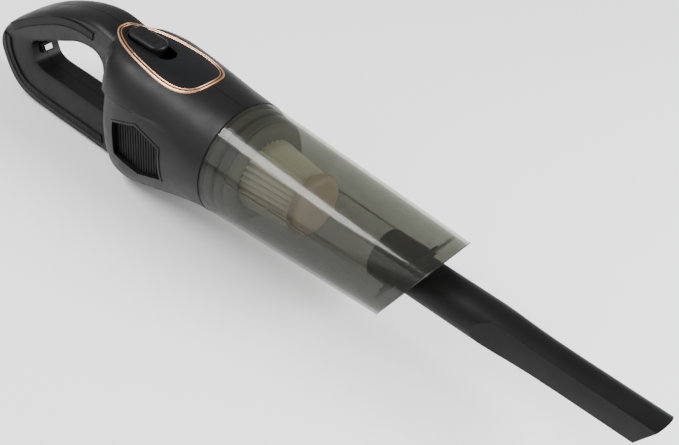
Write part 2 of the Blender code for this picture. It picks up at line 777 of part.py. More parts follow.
def sloped_ring(x, slope, radius_at, sides=ROUND_SIDES):
    """A ring on a plane that leans forward at the top, on a surface whose radius varies with x."""
    ring = []
    for i in range(sides):
        angle = 2 * math.pi * i / sides
        px = x
        for _ in range(6):
            px = x + slope * radius_at(px) * math.cos(angle)
        r = radius_at(px)
        ring.append((px, r * math.sin(angle), r * math.cos(angle)))
    return ring


def make_cup(frame, clear):
    """Clear cup: tapered wall, sloped mouth and a sloped front wall set back behind the lip."""
    def inner(x):
        return cup_radius(x) - CUP_WALL

    wall_x = MOUTH_X - FRONT_WALL_SETBACK
    back_x = wall_x - FRONT_WALL_THICK
    bore = DUCT_RADIUS + GAP
    lug_length, lug_width, lug_depth = LUG_SIZE
    collar_bore = SPIGOT_RADIUS + GAP
    groove_radius = SPIGOT_RADIUS + lug_depth / 2 + GAP
    groove_back = LUG_X - lug_length / 2 - LUG_PLAY
    groove_front = LUG_X + lug_length / 2 + LUG_PLAY

    def hole(_):
        return bore

    rings = [
        ring_about_x(GAP, cup_radius(GAP)),
        sloped_ring(MOUTH_X, MOUTH_SLOPE, cup_radius),
        sloped_ring(MOUTH_X, MOUTH_SLOPE, inner),
        sloped_ring(wall_x, MOUTH_SLOPE, inner),
        sloped_ring(wall_x, MOUTH_SLOPE, hole),
        sloped_ring(back_x, MOUTH_SLOPE, hole),
        sloped_ring(back_x, MOUTH_SLOPE, inner),
        ring_about_x(SPIGOT_LENGTH + 1 * MM, inner(SPIGOT_LENGTH + 1 * MM)),
        ring_about_x(SPIGOT_LENGTH, collar_bore),
        ring_about_x(groove_front, collar_bore),
        ring_about_x(groove_front, groove_radius),
        ring_about_x(groove_back, groove_radius),
        ring_about_x(groove_back, collar_bore),
        ring_about_x(GAP, collar_bore),
    ]
    cup = add_piece("dust_cup", skin_rings("dust_cup", rings, closed=True), clear, frame)
    half = lug_width / 2 + LUG_PLAY
    for i, angle in enumerate(LUG_ANGLES):
        name = f"lug_channel_{i}"
        channel = box(
            name, (-1 * MM, -half, groove_radius - 3 * MM), (groove_back + 1 * MM, half, groove_radius)
        )
        cutter = add_cutter(name, channel, frame)
        cutter.rotation_euler = (-math.radians(angle), 0, 0)
        boolean(cup, cutter, "DIFFERENCE")


def make_duct(frame, plastic):
    """Inlet pipe: a sleeve through the cup's front wall that grips the tool's tube."""
    front = MOUTH_X - FRONT_WALL_SETBACK

    def outer(_):
        return DUCT_RADIUS

    def bore(_):
        return DUCT_BORE

    rings = [
        ring_about_x(DUCT_INNER_X, DUCT_RADIUS),
        sloped_ring(front + 1 * MM, MOUTH_SLOPE, outer),
        sloped_ring(front + 1 * MM, MOUTH_SLOPE, bore),
        ring_about_x(DUCT_INNER_X, DUCT_BORE),
    ]
    add_piece("inlet_duct", skin_rings("inlet_duct", rings, closed=True), plastic, frame)


def rounded_section(x, half_width, half_height, corner, slope=0.0, sides=ROUND_SIDES):
    """A rounded rectangle in a YZ section, sampled at even angles; slope leans it forward."""
    ring = []
    for i in range(sides):
        angle = 2 * math.pi * i / sides
        s, c = math.sin(angle), math.cos(angle)
        y = math.copysign(half_width - corner, s) + corner * s
        z = math.copysign(half_height - corner, c) + corner * c
        if abs(s) < 1e-6:
            y = 0.0
        if abs(c) < 1e-6:
            z = 0.0
        ring.append((x + slope * z, y, z))
    return ring


def make_tool(frame, plastic):
    """Crevice tool: a round tube that flattens into a slim blade with a sloped, open tip."""
    axis = (TUBE_INNER_X, 0, 0)
    r = TUBE_RADIUS

    def shape(thin):
        w = BLADE_HALF_WIDTH - thin
        h = BLADE_HALF_HEIGHT - thin
        c = BLADE_CORNER - thin * 0.8
        t = r - thin
        mid = (TUBE_END_X + BLADE_X) / 2
        return [
            rounded_section(TUBE_INNER_X, t, t, t),
            rounded_section(TUBE_END_X, t, t, t),
            rounded_section(mid, (t + w) / 2, (t + h) / 2, (t + c) / 2),
            rounded_section(BLADE_X, w, h, c),
            rounded_section(TIP_X, w, h, c, TIP_SLOPE),
        ]

    rings = shape(0.0) + shape(TUBE_WALL)[::-1]
    add_piece("crevice_tool", skin_rings("crevice_tool", rings, closed=True), plastic, frame, axis)


# ---------------------------------------------------------------- motor, battery, electronics


def make_motor(frame, steel, plastic, rubber, aluminium):
    back = MOTOR_FRONT_X - MOTOR_LENGTH
    can = [
        (back, MOTOR_RADIUS), (MOTOR_FRONT_X, MOTOR_RADIUS),
        (MOTOR_FRONT_X, SHAFT_RADIUS + SHAFT_CLEARANCE), (back, SHAFT_RADIUS + SHAFT_CLEARANCE),
    ]
    add_piece("motor_can", turned_ring("motor_can", can, 32), steel, frame)
    bell = [(back - GAP - 6 * MM, MOTOR_RADIUS - 4 * MM), (back - GAP, MOTOR_RADIUS - 1 * MM)]
    add_piece("motor_end_cap", turned_solid("motor_end_cap", bell, 32), plastic, frame)
    shaft = [(back + 1 * MM, SHAFT_RADIUS), (FAN_FRONT_X - GAP, SHAFT_RADIUS)]
    add_piece("motor_shaft", turned_solid("motor_shaft", shaft, 16), steel, frame)
    collar = [
        (MOTOR_FRONT_X - 12 * MM, MOTOR_RADIUS + GAP), (MOTOR_FRONT_X - 12 * MM, MOTOR_RADIUS + 4 * MM),
        (MOTOR_FRONT_X - 2 * MM, MOTOR_RADIUS + 4 * MM), (MOTOR_FRONT_X - 2 * MM, MOTOR_RADIUS + GAP),
    ]
    add_piece("motor_mount_ring", turned_ring("motor_mount_ring", collar, 32), rubber, frame)

    carrier_bore = MOTOR_RADIUS + 4 * MM + GAP
    carrier_x = MOTOR_FRONT_X - 9 * MM
    half_width, top, bottom, _ = body_at(carrier_x)
    carrier_radius = min(half_width, top, bottom) - WALL - 2 * MM
    add_piece(
        "motor_bulkhead",
        tube_ring("motor_bulkhead", carrier_x, carrier_x + 3 * MM, carrier_radius, carrier_bore, 40),
        plastic,
        frame,
    )

    hub = SHAFT_RADIUS + SHAFT_CLEARANCE / 3
    fan_back = FAN_FRONT_X - FAN_THICK
    fan = [
        (fan_back, FAN_RADIUS), (fan_back + 1.2 * MM, FAN_RADIUS), (fan_back + 1.2 * MM, 6 * MM),
        (FAN_FRONT_X - 1 * MM, 5 * MM), (FAN_FRONT_X - 1 * MM, hub), (fan_back, hub),
    ]
    impeller = add_piece("impeller", turned_ring("impeller", fan, 40), aluminium, frame)
    for i in range(FAN_BLADES):
        name = f"fan_blade_{i}"
        blade = box(
            name,
            (fan_back + 0.6 * MM, -0.6 * MM, 4.5 * MM),
            (FAN_FRONT_X - 2.5 * MM, 0.6 * MM, FAN_RADIUS - 0.5 * MM),
        )
        cutter = add_cutter(name, blade, frame)
        cutter.rotation_euler = (2 * math.pi * i / FAN_BLADES, 0, 0)
        boolean(impeller, cutter, "UNION")

    shroud_outer = FAN_RADIUS + 4 * MM
    shroud = [
        (fan_back - 1 * MM, shroud_outer), (FAN_FRONT_X + 2 * MM, shroud_outer),
        (FAN_FRONT_X + 2 * MM, 14 * MM), (FAN_FRONT_X + 0.5 * MM, 14 * MM),
        (FAN_FRONT_X + 0.5 * MM, FAN_RADIUS + 2 * MM), (fan_back - 1 * MM, FAN_RADIUS + 2 * MM),
    ]
    add_piece("fan_shroud", turned_ring("fan_shroud", shroud, 40), plastic, frame)


def make_battery(frame, wrap, plastic):
    y = CELL_RADIUS + CELL_SPACING / 2
    x0 = CELL_X - CELL_LENGTH / 2
    x1 = CELL_X + CELL_LENGTH / 2
    for side, sign in {"right": -1, "left": 1}.items():
        cell = [(x0, CELL_RADIUS - 1 * MM), (x0 + 1 * MM, CELL_RADIUS), (x1 - 1 * MM, CELL_RADIUS), (x1, CELL_RADIUS - 1 * MM)]
        add_piece(
            f"battery_cell_{side}", turned_solid("battery_cell", cell, 24, sign * y, CELL_Z), wrap, frame
        )
    stop_reach = y + CELL_RADIUS * 0.8
    holder_low = (x1 + GAP, -stop_reach, CELL_Z - CELL_RADIUS * 0.8)
    holder_high = (x1 + GAP + STOP_THICK, stop_reach, CELL_Z + CELL_RADIUS)
    add_piece("battery_stop", box("battery_stop", holder_low, holder_high), plastic, frame)


def make_electronics(frame, board_material, plastic, metal, slider_floor):
    length, width, thick = BOARD_SIZE
    top = slider_floor - 8 * MM
    board_low = (SWITCH_X - length / 2, -width / 2, top - thick)
    board_high = (SWITCH_X + length / 2, width / 2, top)
    add_piece("circuit_board", box("circuit_board", board_low, board_high), board_material, frame)
    switch_low = (SWITCH_X - 6 * MM, -3 * MM, top + GAP)
    switch_high = (SWITCH_X + 6 * MM, 3 * MM, slider_floor - GAP)
    add_piece("power_switch", box("power_switch", switch_low, switch_high), plastic, frame)
    add_piece("charge_socket", socket_mesh("charge_socket", 0.0, 6 * MM), plastic, frame)
    contact = socket_mesh("charge_contact", -1.6 * MM, 1.2 * MM, lift=1.2 * MM + GAP)
    add_piece("charge_contact", contact, metal, frame)


def socket_mesh(name, grow, depth, lift=0.0):
    """Charging socket, set in the rear wall of the finger hole and facing the nose."""
    half_y = 4.6 * MM + grow
    half_t = 3.6 * MM + grow
    slope = math.radians(17)
    front = Vector((-209.5 * MM, 0, -15.5 * MM))
    out = Vector((math.cos(slope), 0, math.sin(slope)))
    up = Vector((-math.sin(slope), 0, math.cos(slope)))
    across = Vector((0, 1, 0))
    rings = []
    for along in (lift, lift - depth):
        ring = []
        for a, b in ((-1, -1), (1, -1), (1, 1), (-1, 1)):
            ring.append(front + out * along + across * (a * half_y) + up * (b * half_t))
        rings.append(ring)
    return skin_rings(name, rings)


def make_screws(frame, steel):
    """Screws across the split, driven from the left side into the right shell's bosses."""
    for i, (x, z, half) in enumerate(screw_places()):
        name = f"shell_screw_{i + 1}"
        under_head = half - SCREW_HEAD
        shank = rod_along_y(name, x, z, SCREW_RADIUS, -half, under_head + GAP)
        head_name = f"screw_head_{i + 1}"
        head = rod_along_y(head_name, x, z, SCREW_HEAD_RADIUS, under_head, half)
        screw = add_piece(name, shank, steel, frame)
        boolean(screw, add_cutter(head_name, head, frame), "UNION")


# ---------------------------------------------------------------- assembly


def main():
    clear_scene()
    frame = frame_empty()
    shell = make_material("satin_black", (0.035, 0.035, 0.036), 0.42)
    trim = make_material("matte_black", (0.022, 0.022, 0.023), 0.55)
    panel = make_material("panel_black", (0.028, 0.029, 0.031), 0.36)
    knob = make_material("knob_black", (0.03, 0.03, 0.031), 0.45)
    copper = make_material("copper_plate", (0.60, 0.33, 0.20), 0.3, 1.0)
    clear = make_material("smoke_clear", (0.34, 0.35, 0.31), 0.1, 0.0, 0.4)
    paper = make_material("pleated_paper", (0.80, 0.76, 0.62), 0.8)
    flange = make_material("flange_grey", (0.42, 0.38, 0.31), 0.55)
    cap = make_material("cap_brown", (0.42, 0.32, 0.27), 0.5)
    rubber = make_material("seal_rubber", (0.02, 0.02, 0.02), 0.8)
    foam = make_material("exhaust_foam", (0.02, 0.02, 0.02), 0.95)
    steel = make_material("steel", (0.62, 0.62, 0.63), 0.35, 1.0)
    aluminium = make_material("fan_aluminium", (0.72, 0.72, 0.74), 0.4, 1.0)
    wrap = make_material("cell_wrap", (0.05, 0.22, 0.42), 0.4)
    board = make_material("board_green", (0.03, 0.20, 0.08), 0.5)

    make_housing(frame, shell)
    make_trims(frame, trim)
    make_exhaust(frame, trim, foam)
    slider_floor = make_panel(frame, panel, copper, knob)
    filter_bore = make_spigot(frame, trim, rubber)
    make_filter(frame, filter_bore, paper, flange, cap)
    make_cup(frame, clear)
    make_duct(frame, trim)
    make_tool(frame, trim)
    make_motor(frame, steel, trim, rubber, aluminium)
    make_battery(frame, wrap, trim)
    make_electronics(frame, board, trim, steel, slider_floor)
    make_screws(frame, steel)


main()
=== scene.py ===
"""Handheld vacuum cleaner: shells, clear cup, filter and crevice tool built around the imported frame."""

import math

import bmesh
import bpy
from mathutils import Matrix, Vector


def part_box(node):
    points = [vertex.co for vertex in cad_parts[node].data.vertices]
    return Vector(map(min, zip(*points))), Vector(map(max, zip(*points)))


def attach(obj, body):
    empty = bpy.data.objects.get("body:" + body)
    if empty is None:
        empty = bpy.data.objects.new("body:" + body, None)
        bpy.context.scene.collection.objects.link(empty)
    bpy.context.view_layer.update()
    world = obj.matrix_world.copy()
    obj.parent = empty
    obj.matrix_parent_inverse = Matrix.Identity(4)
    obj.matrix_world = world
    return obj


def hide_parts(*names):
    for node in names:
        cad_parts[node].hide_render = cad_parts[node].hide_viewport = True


bl_info = {
    "name": "Handheld Vacuum Looks",
    "version": (1, 0, 0),
    "blender": (4, 5, 0),
    "location": "3D View > Sidebar > Vacuum",
    "description": "Builds the visible pieces of a handheld vacuum around its frame",
    "category": "Object",
}

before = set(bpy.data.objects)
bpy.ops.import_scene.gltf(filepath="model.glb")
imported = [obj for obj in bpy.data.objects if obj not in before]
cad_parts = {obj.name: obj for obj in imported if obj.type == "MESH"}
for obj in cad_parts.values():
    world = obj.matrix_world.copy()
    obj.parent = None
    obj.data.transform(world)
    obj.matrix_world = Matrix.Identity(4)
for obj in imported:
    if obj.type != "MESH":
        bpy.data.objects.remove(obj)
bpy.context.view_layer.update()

MM = 0.001
FIT_GAP = 0.3 * MM
CUP_LOW, CUP_HIGH = (Vector(corner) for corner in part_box("dust_cup"))
# The joint between housing and cup, on the cup's axis: every outline below is measured from it
JOINT = Vector((CUP_LOW.x - FIT_GAP, 0.0, (CUP_LOW.z + CUP_HIGH.z) / 2))

HANDLE_HALF = 15.2 * MM
SWITCH_X = -89.0 * MM
PANEL_REAR, PANEL_FRONT, PANEL_HALF = -119 * MM, -30.5 * MM, 27 * MM
# Exhaust window: centre, half length, half height at its ends, extra height in the middle, tilt
VENT_X, VENT_Z = -62.5 * MM, -9.5 * MM
VENT_HALF, VENT_SIDE, VENT_RISE, VENT_TILT = 26 * MM, 14.5 * MM, 8 * MM, 0.11
SPIGOT_RADIUS = 37.5 * MM
CUP_WALL = 2.0 * MM
# The cup's turned blanks run past its sloped mouth, which is cut afterwards
BLANK_REAR, BLANK_FRONT = 100 * MM, 185 * MM
MOUTH_SLOPE = 0.561
INLET_RADIUS = 16.7 * MM
TIP_X, TIP_SLOPE = 313 * MM, 0.6

# Side outline of the handle's outer edge, in millimetres from the joint
HANDLE_LINE = [
    (-100, 41), (-112, 44.8), (-130, 47.3), (-150, 44.6), (-173, 37), (-197, 25.8), (-219, 12), (-237, -2),
    (-246.5, -13.5), (-249.5, -25), (-246, -37), (-240, -48.5), (-230, -57.5), (-216, -61.4),
    (-200, -62), (-150, -62), (-112, -61.9), (-100, -61),
]
# Finger hole, from the bottom front upwards: its rim at the side faces, and its throat between them
HOLE_RIM = [
    (-121, -43), (-121, 12), (-124, 25), (-134, 32), (-150, 32), (-171, 26.5), (-190, 17.5),
    (-210, 6.5), (-226, -4), (-233, -13), (-232.5, -23), (-228, -34), (-220, -42.5), (-208, -46),
    (-170, -46.5), (-130, -46.5),
]
HOLE_THROAT = [
    (-128, -25), (-128, 8), (-130, 17), (-138, 21.5), (-155, 19.5), (-171, 12.5), (-186, 5.5),
    (-200, -1.5), (-209, -6), (-212.5, -11), (-212, -17), (-209, -24), (-204, -27), (-196, -28),
    (-170, -28), (-133, -28),
]
# (x, half width, top, bottom, squareness) of the housing, in millimetres
BODY_LINE = [
    (0, 41, 41, 41, 2.0), (-7.4, 41.05, 41.3, 41.8, 2.03), (-19.8, 41.15, 42.1, 44.2, 2.1),
    (-34.7, 41.2, 43.2, 47.9, 2.25), (-52, 40.9, 44.3, 52.6, 2.5), (-69.4, 40.5, 44.8, 57, 2.8),
    (-84.3, 39.5, 45, 60.5, 3.1), (-96.7, 36.8, 45, 61.8, 3.2), (-103, 33.8, 45.2, 61.8, 3.2),
]
# Behind the body's rear edge its side wall turns in towards the handle
TURN_IN = [
    (-105, 31.0, 45.3, 61.7, 3.2), (-110.4, 25.0, 45.6, 61.7, 3.2), (-117.8, 17.6, 46.3, 61.6, 3.1),
    (-124, 14.7, 46.5, 61.4, 3.0),
]
# The scooped side: crease height along x, and how deep the scoop is under it
CREASE_LINE = [
    (-124, 15.0, 0.0), (-112, 16.0, 0.6), (-103, 17.0, 2.8), (-89, 18.0, 2.6), (-70, 20.0, 2.0),
    (-45, 23.0, 1.1), (-22, 24.0, 0.0), (0, 24.0, 0.0),
]


# ---------------------------------------------------------------- sizes and colours


class VacuumSizes(bpy.types.PropertyGroup):
    scoop_fade: bpy.props.FloatProperty(
        name="Scoop fade", description="How far below the crease the side scoop fades out",
        default=26.0 * MM, unit="LENGTH",
    )
    wall: bpy.props.FloatProperty(
        name="Shell wall", description="Wall of the housing's half shells", default=2.4 * MM, unit="LENGTH"
    )
    vent_pitch: bpy.props.FloatProperty(
        name="Vent pitch", description="Spacing of the exhaust slats", default=2.6 * MM, unit="LENGTH"
    )
    pleats: bpy.props.IntProperty(name="Pleats", description="Folds round the filter cone", default=36)
    cup_taper: bpy.props.FloatProperty(
        name="Cup taper", description="Radius lost along each unit of the cup's length", default=0.0455
    )


class VacuumColours(bpy.types.PropertyGroup):
    shell: bpy.props.FloatVectorProperty(
        name="Shell", description="Satin black of the housing", default=(0.0055, 0.0055, 0.0057), size=3,
        subtype="COLOR",
    )
    trim: bpy.props.FloatVectorProperty(
        name="Trim", description="Matte black of the grip, tool and inlet",
        default=(0.0042, 0.0042, 0.0044), size=3, subtype="COLOR",
    )
    copper: bpy.props.FloatVectorProperty(
        name="Copper", description="Plated rings round the panel", default=(0.62, 0.34, 0.19), size=3,
        subtype="COLOR",
    )
    smoke: bpy.props.FloatVectorProperty(
        name="Smoke", description="Smoky colour of the clear cup", default=(0.020, 0.0205, 0.0155), size=3,
        subtype="COLOR",
    )
    paper: bpy.props.FloatVectorProperty(
        name="Paper", description="Pleated filter paper", default=(0.90, 0.86, 0.74), size=3, subtype="COLOR"
    )
    cap: bpy.props.FloatVectorProperty(
        name="Filter cap", description="Brown end cap of the filter", default=(0.52, 0.40, 0.33), size=3,
        subtype="COLOR",
    )


# ---------------------------------------------------------------- outlines


def in_metres(rows):
    """Scale rows of numbers from millimetres to metres."""
    return [tuple(value * MM for value in row) for row in rows]


def smooth_line(points, steps, closed=False):
    """Catmull-Rom curve through points, with this many steps between two of them."""
    count = len(points)
    spans = count if closed else count - 1

    def pick(i):
        return Vector(points[i % count] if closed else points[min(max(i, 0), count - 1)])

    line = []
    for span in range(spans):
        a, b, c, d = (pick(span + k) for k in (-1, 0, 1, 2))
        for step in range(steps):
            t = step / steps
            bend = (2 * a - 5 * b + 4 * c - d) * t * t
            line.append(0.5 * (2 * b + (c - a) * t + bend + (3 * b - a - 3 * c + d) * t ** 3))
    if not closed:
        line.append(pick(count - 1))
    return [tuple(point) for point in line]


def offset_outline(outline, distance):
    """Move each point of a closed outline inwards by distance."""
    area = sum(a[0] * b[1] - b[0] * a[1] for a, b in zip(outline, outline[1:] + outline[:1]))
    inward = 1.0 if area > 0 else -1.0
    moved = []
    for i, point in enumerate(outline):
        along = (Vector(outline[(i + 1) % len(outline)]) - Vector(outline[i - 1])).normalized()
        moved.append((point[0] - inward * along.y * distance, point[1] + inward * along.x * distance))
    return moved


def between(rows, x):
    """Read a table of rows at x, straight between its entries."""
    for near, far in zip(rows, rows[1:]):
        if min(near[0], far[0]) <= x <= max(near[0], far[0]):
            t = (x - near[0]) / (far[0] - near[0])
            return [a + (b - a) * t for a, b in zip(near[1:], far[1:])]
    return list(rows[0][1:]) if abs(x - rows[0][0]) < abs(x - rows[-1][0]) else list(rows[-1][1:])


FINE_BODY = [(*(value * MM for value in row[:4]), row[4]) for row in smooth_line(BODY_LINE, 6) + TURN_IN]


def body_point(section, angle, inset):
    """A point of the housing's section, angle counted from the side towards the top."""
    half_width, top, bottom, power = section
    c, s = math.cos(angle), math.sin(angle)
    height = top if s > 0 else bottom
    y = abs(c) ** (2 / power) * (half_width - inset)
    z = math.copysign(abs(s) ** (2 / power), s) * (height - inset)
    return y, z


def body_side(x, section, inset, fade):
    """One side of a section, from the bottom to the top, with the scoop under the crease."""
    crease, depth = between(in_metres(CREASE_LINE), x)
    low, high = 0.0, math.pi / 2
    for _ in range(30):
        middle = (low + high) / 2
        if body_point(section, middle, inset)[1] < crease:
            low = middle
        else:
            high = middle
    below, above = 34, 22
    side = []
    for i in range(below + 1):
        angle = -math.pi / 2 + (low + math.pi / 2) * i / below
        y, z = body_point(section, angle, inset)
        share = max(0.0, 1 - (crease - z) / fade)
        dip = 0.0 if i == below else depth * share * share * (3 - 2 * share)
        side.append((y - dip if y > dip else y, z))
    for i in range(1, above + 1):
        side.append(body_point(section, low + (math.pi / 2 - low) * i / above, inset))
    return side


def body_loft(name, sign, inset, start=0.0, end=0.0, overlap=2 * MM):
    """Half of the housing's body on one side (sign -1 or 1), or all of it (sign 0).

    start and end move the first and the last section along x.
    """
    rings = []
    shifts = [start, *[0.0] * (len(FINE_BODY) - 2), end]
    for (place, *section), shift in zip(FINE_BODY, shifts):
        x = place + shift
        side = body_side(place, section, inset, sizes().scoop_fade)
        if sign:
            inner = [(x, sign * max(y, 0.0), z) for y, z in side]
            edge = -sign * overlap
            rings.append([(x, edge, side[0][1]), *inner, (x, edge, side[-1][1])])
        else:
            near = [(x, y, z) for y, z in side]
            far = [(x, -y, z) for y, z in reversed(side[1:-1])]
            rings.append(near + far)
    return loft(name, rings)


def body_height(x, y):
    """Height of the housing's top surface over (x, y)."""
    half_width, top, _, power = between(FINE_BODY, x)
    share = min(abs(y) / half_width, 0.98)
    return top * (1 - share ** power) ** (1 / power)


# ---------------------------------------------------------------- modelling helpers


def only(piece):
    """Select one piece and make it active."""
    bpy.ops.object.select_all(action="DESELECT")
    piece.select_set(True)
    bpy.context.view_layer.objects.active = piece


def as_piece(name, mesh):
    """Link a new object that holds the mesh."""
    piece = bpy.data.objects.new(name, mesh)
    bpy.context.scene.collection.objects.link(piece)
    return piece


def loft(name, rings, closed=False):
    """A closed solid through rings of equal length: capped at both ends, or joined end to end."""
    bm = bmesh.new()
    loops = [[bm.verts.new(point) for point in ring] for ring in rings]
    pairs = list(zip(loops, loops[1:]))
    if closed:
        pairs.append((loops[-1], loops[0]))
    else:
        bm.faces.new(loops[0])
        bm.faces.new(loops[-1])
    for first, second in pairs:
        for i in range(len(first)):
            j = (i + 1) % len(first)
            bm.faces.new((first[i], first[j], second[j], second[i]))
    bmesh.ops.remove_doubles(bm, verts=bm.verts, dist=1e-6)
    bmesh.ops.recalc_face_normals(bm, faces=bm.faces)
    mesh = bpy.data.meshes.new(name)
    bm.to_mesh(mesh)
    bm.free()
    return as_piece(name, mesh)


def turned(name, profile, steps=96):
    """A closed (x, radius) profile spun round the cup's axis."""
    bpy.ops.object.select_all(action="DESELECT")
    bpy.ops.mesh.primitive_circle_add(vertices=len(profile), radius=10 * MM, location=(0, 0, 0))
    piece = bpy.context.object
    piece.name = name
    for vertex, (x, radius) in zip(piece.data.vertices, profile):
        vertex.co = (x, 0, radius)
    bpy.ops.object.mode_set(mode="EDIT")
    bpy.ops.mesh.select_all(action="SELECT")
    bpy.ops.mesh.spin(steps=steps, angle=2 * math.pi, center=(0, 0, 0), axis=(1, 0, 0))
    bpy.ops.mesh.select_all(action="SELECT")
    bpy.ops.mesh.remove_doubles(threshold=1e-6)
    bpy.ops.mesh.normals_make_consistent(inside=False)
    bpy.ops.object.mode_set(mode="OBJECT")
    return piece


def block(name, low, high):
    """A box between two corners."""
    low, high = Vector(low), Vector(high)
    bpy.ops.object.select_all(action="DESELECT")
    bpy.ops.mesh.primitive_cube_add(size=1.0, location=(0, 0, 0))
    piece = bpy.context.object
    piece.name = name
    for vertex in piece.data.vertices:
        vertex.co = Vector((high[i] if vertex.co[i] > 0 else low[i] for i in range(3)))
    return piece


def prism(name, outline, levels, axis="Y"):
    """An outline extruded between levels along Y (side view) or Z (top view)."""
    if axis == "Y":
        return loft(name, [[(x, level, z) for x, z in outline] for level in levels])
    return loft(name, [[(x, y, level) for x, y in outline] for level in levels])


def apply_modifiers(piece):
    """Apply all modifiers, in order."""
    only(piece)
    for modifier in list(piece.modifiers):
        bpy.ops.object.modifier_apply(modifier=modifier.name)


def combine(piece, other, operation="DIFFERENCE"):
    """Boolean with another mesh, which is used up."""
    modifier = piece.modifiers.new("combine", "BOOLEAN")
    modifier.operation = operation
    modifier.solver = "EXACT"
    modifier.object = other
    apply_modifiers(piece)
    bpy.data.objects.remove(other)
    if not piece.data.polygons:
        raise RuntimeError(f"{piece.name} lost all its faces")


def soften(piece, width, segments=3, angle=35):
    """Round the sharp edges."""
    modifier = piece.modifiers.new("soften", "BEVEL")
    modifier.width = width
    modifier.segments = segments
    modifier.limit_method = "ANGLE"
    modifier.angle_limit = math.radians(angle)
    apply_modifiers(piece)


def turn_about_axis(piece, degrees):
    """Turn a mesh about the cup's axis."""
    piece.data.transform(Matrix.Rotation(math.radians(degrees), 4, "X"))


def settle(piece, body, material, replaces=(), angle=35):
    """Shade the piece, put its place in its mesh, and tie it to its body."""
    piece.data.transform(Matrix.Translation(JOINT))
    piece.data.materials.clear()
    piece.data.materials.append(material)
    only(piece)
    bpy.ops.object.shade_smooth_by_angle(angle=math.radians(angle))
    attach(piece, body)
    if replaces:
        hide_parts(*replaces)
    return piece


# ---------------------------------------------------------------- materials


def new_material(name):
    """A material with a Principled shader and the piece's own coordinates."""
    material = bpy.data.materials.new(name)
    material.use_nodes = True
    nodes = material.node_tree.nodes
    return material, nodes, material.node_tree.links, nodes["Principled BSDF"], nodes.new("ShaderNodeTexCoord")


def noise(nodes, links, coordinates, scale, detail=3.0, roughness=0.5):
    """A noise texture over the piece."""
    texture = nodes.new("ShaderNodeTexNoise")
    texture.inputs["Scale"].default_value = scale
    texture.inputs["Detail"].default_value = detail
    texture.inputs["Roughness"].default_value = roughness
    links.new(coordinates.outputs["Object"], texture.inputs["Vector"])
    return texture


def ramp_value(nodes, links, source, low, high, target):
    """Spread a noise over a range of values for a shader input."""
    spread = nodes.new("ShaderNodeMapRange")
    spread.inputs["From Min"].default_value = 0.3
    spread.inputs["From Max"].default_value = 0.7
    spread.inputs["To Min"].default_value = low
    spread.inputs["To Max"].default_value = high
    links.new(source, spread.inputs["Value"])
    links.new(spread.outputs["Result"], target)


def ramp_colour(nodes, links, source, colour, low, high, target):
    """Spread a noise between a darker and a lighter shade of a colour."""
    ramp = nodes.new("ShaderNodeValToRGB")
    ramp.color_ramp.elements[0].position = 0.3
    ramp.color_ramp.elements[1].position = 0.7
    ramp.color_ramp.elements[0].color = (*(c * low for c in colour), 1)
    ramp.color_ramp.elements[1].color = (*(c * high for c in colour), 1)
    links.new(source, ramp.inputs["Fac"])
    links.new(ramp.outputs["Color"], target)


def add_bump(nodes, links, height, strength, distance, shader):
    """Let a texture's height tilt the shader's normal."""
    bump = nodes.new("ShaderNodeBump")
    bump.inputs["Strength"].default_value = strength
    bump.inputs["Distance"].default_value = distance
    links.new(height, bump.inputs["Height"])
    links.new(bump.outputs["Normal"], shader.inputs["Normal"])


def moulded(
    name, colour, roughness, grain=2600.0, strength=0.25, metallic=0.0, spread=0.05, specular=0.17
):
    """Moulded or plated surface: fine spark grain, faint clouding in colour and gloss."""
    name = f"{name}_finish"
    if name in bpy.data.materials:
        return bpy.data.materials[name]
    material, nodes, links, shader, coordinates = new_material(name)
    cloud = noise(nodes, links, coordinates, 28.0, 4.0)
    ramp_colour(nodes, links, cloud.outputs["Fac"], colour, 0.86, 1.16, shader.inputs["Base Color"])
    wear = noise(nodes, links, coordinates, 90.0, 5.0, 0.6)
    ramp_value(
        nodes, links, wear.outputs["Fac"], roughness - spread, roughness + spread, shader.inputs["Roughness"]
    )
    fine = noise(nodes, links, coordinates, grain, 2.0)
    add_bump(nodes, links, fine.outputs["Fac"], strength, 0.05 * MM, shader)
    shader.inputs["Metallic"].default_value = metallic
    shader.inputs["Specular IOR Level"].default_value = specular
    return material


def smoky_clear(name, colour, above, below, roughness=0.11):
    """Thin smoky plastic: a dark glossy skin with painted shade, clearer above the axis and darker, less
    see-through towards the bottom.
    """
    name = f"{name}_finish"
    if name in bpy.data.materials:
        return bpy.data.materials[name]
    material, nodes, links, shader, coordinates = new_material(name)
    shader.inputs["Specular IOR Level"].default_value = 0.4
    haze = noise(nodes, links, coordinates, 35.0, 4.0)
    ramp_colour(nodes, links, haze.outputs["Fac"], colour, 0.9, 1.1, shader.inputs["Base Color"])
    scuff = noise(nodes, links, coordinates, 60.0, 3.0)
    ramp_value(
        nodes, links, scuff.outputs["Fac"], roughness - 0.015, roughness + 0.02, shader.inputs["Roughness"]
    )
    axes = nodes.new("ShaderNodeSeparateXYZ")
    links.new(coordinates.outputs["Object"], axes.inputs["Vector"])
    # Painted shade: the skin turns darker and less see-through from above the axis down to the bottom
    painted_shade_fall = nodes.new("ShaderNodeMapRange")
    painted_shade_fall.inputs["From Min"].default_value = JOINT.z - 30 * MM
    painted_shade_fall.inputs["From Max"].default_value = JOINT.z + 12 * MM
    painted_shade_fall.inputs["To Min"].default_value = below
    painted_shade_fall.inputs["To Max"].default_value = above
    links.new(axes.outputs["Z"], painted_shade_fall.inputs["Value"])
    through = nodes.new("ShaderNodeBsdfTransparent")
    through.inputs["Color"].default_value = (0.965, 0.975, 0.925, 1.0)
    mix = nodes.new("ShaderNodeMixShader")
    links.new(painted_shade_fall.outputs["Result"], mix.inputs["Fac"])
    links.new(through.outputs["BSDF"], mix.inputs[1])
    links.new(shader.outputs["BSDF"], mix.inputs[2])
    links.new(mix.outputs["Shader"], nodes["Material Output"].inputs["Surface"])
    return material


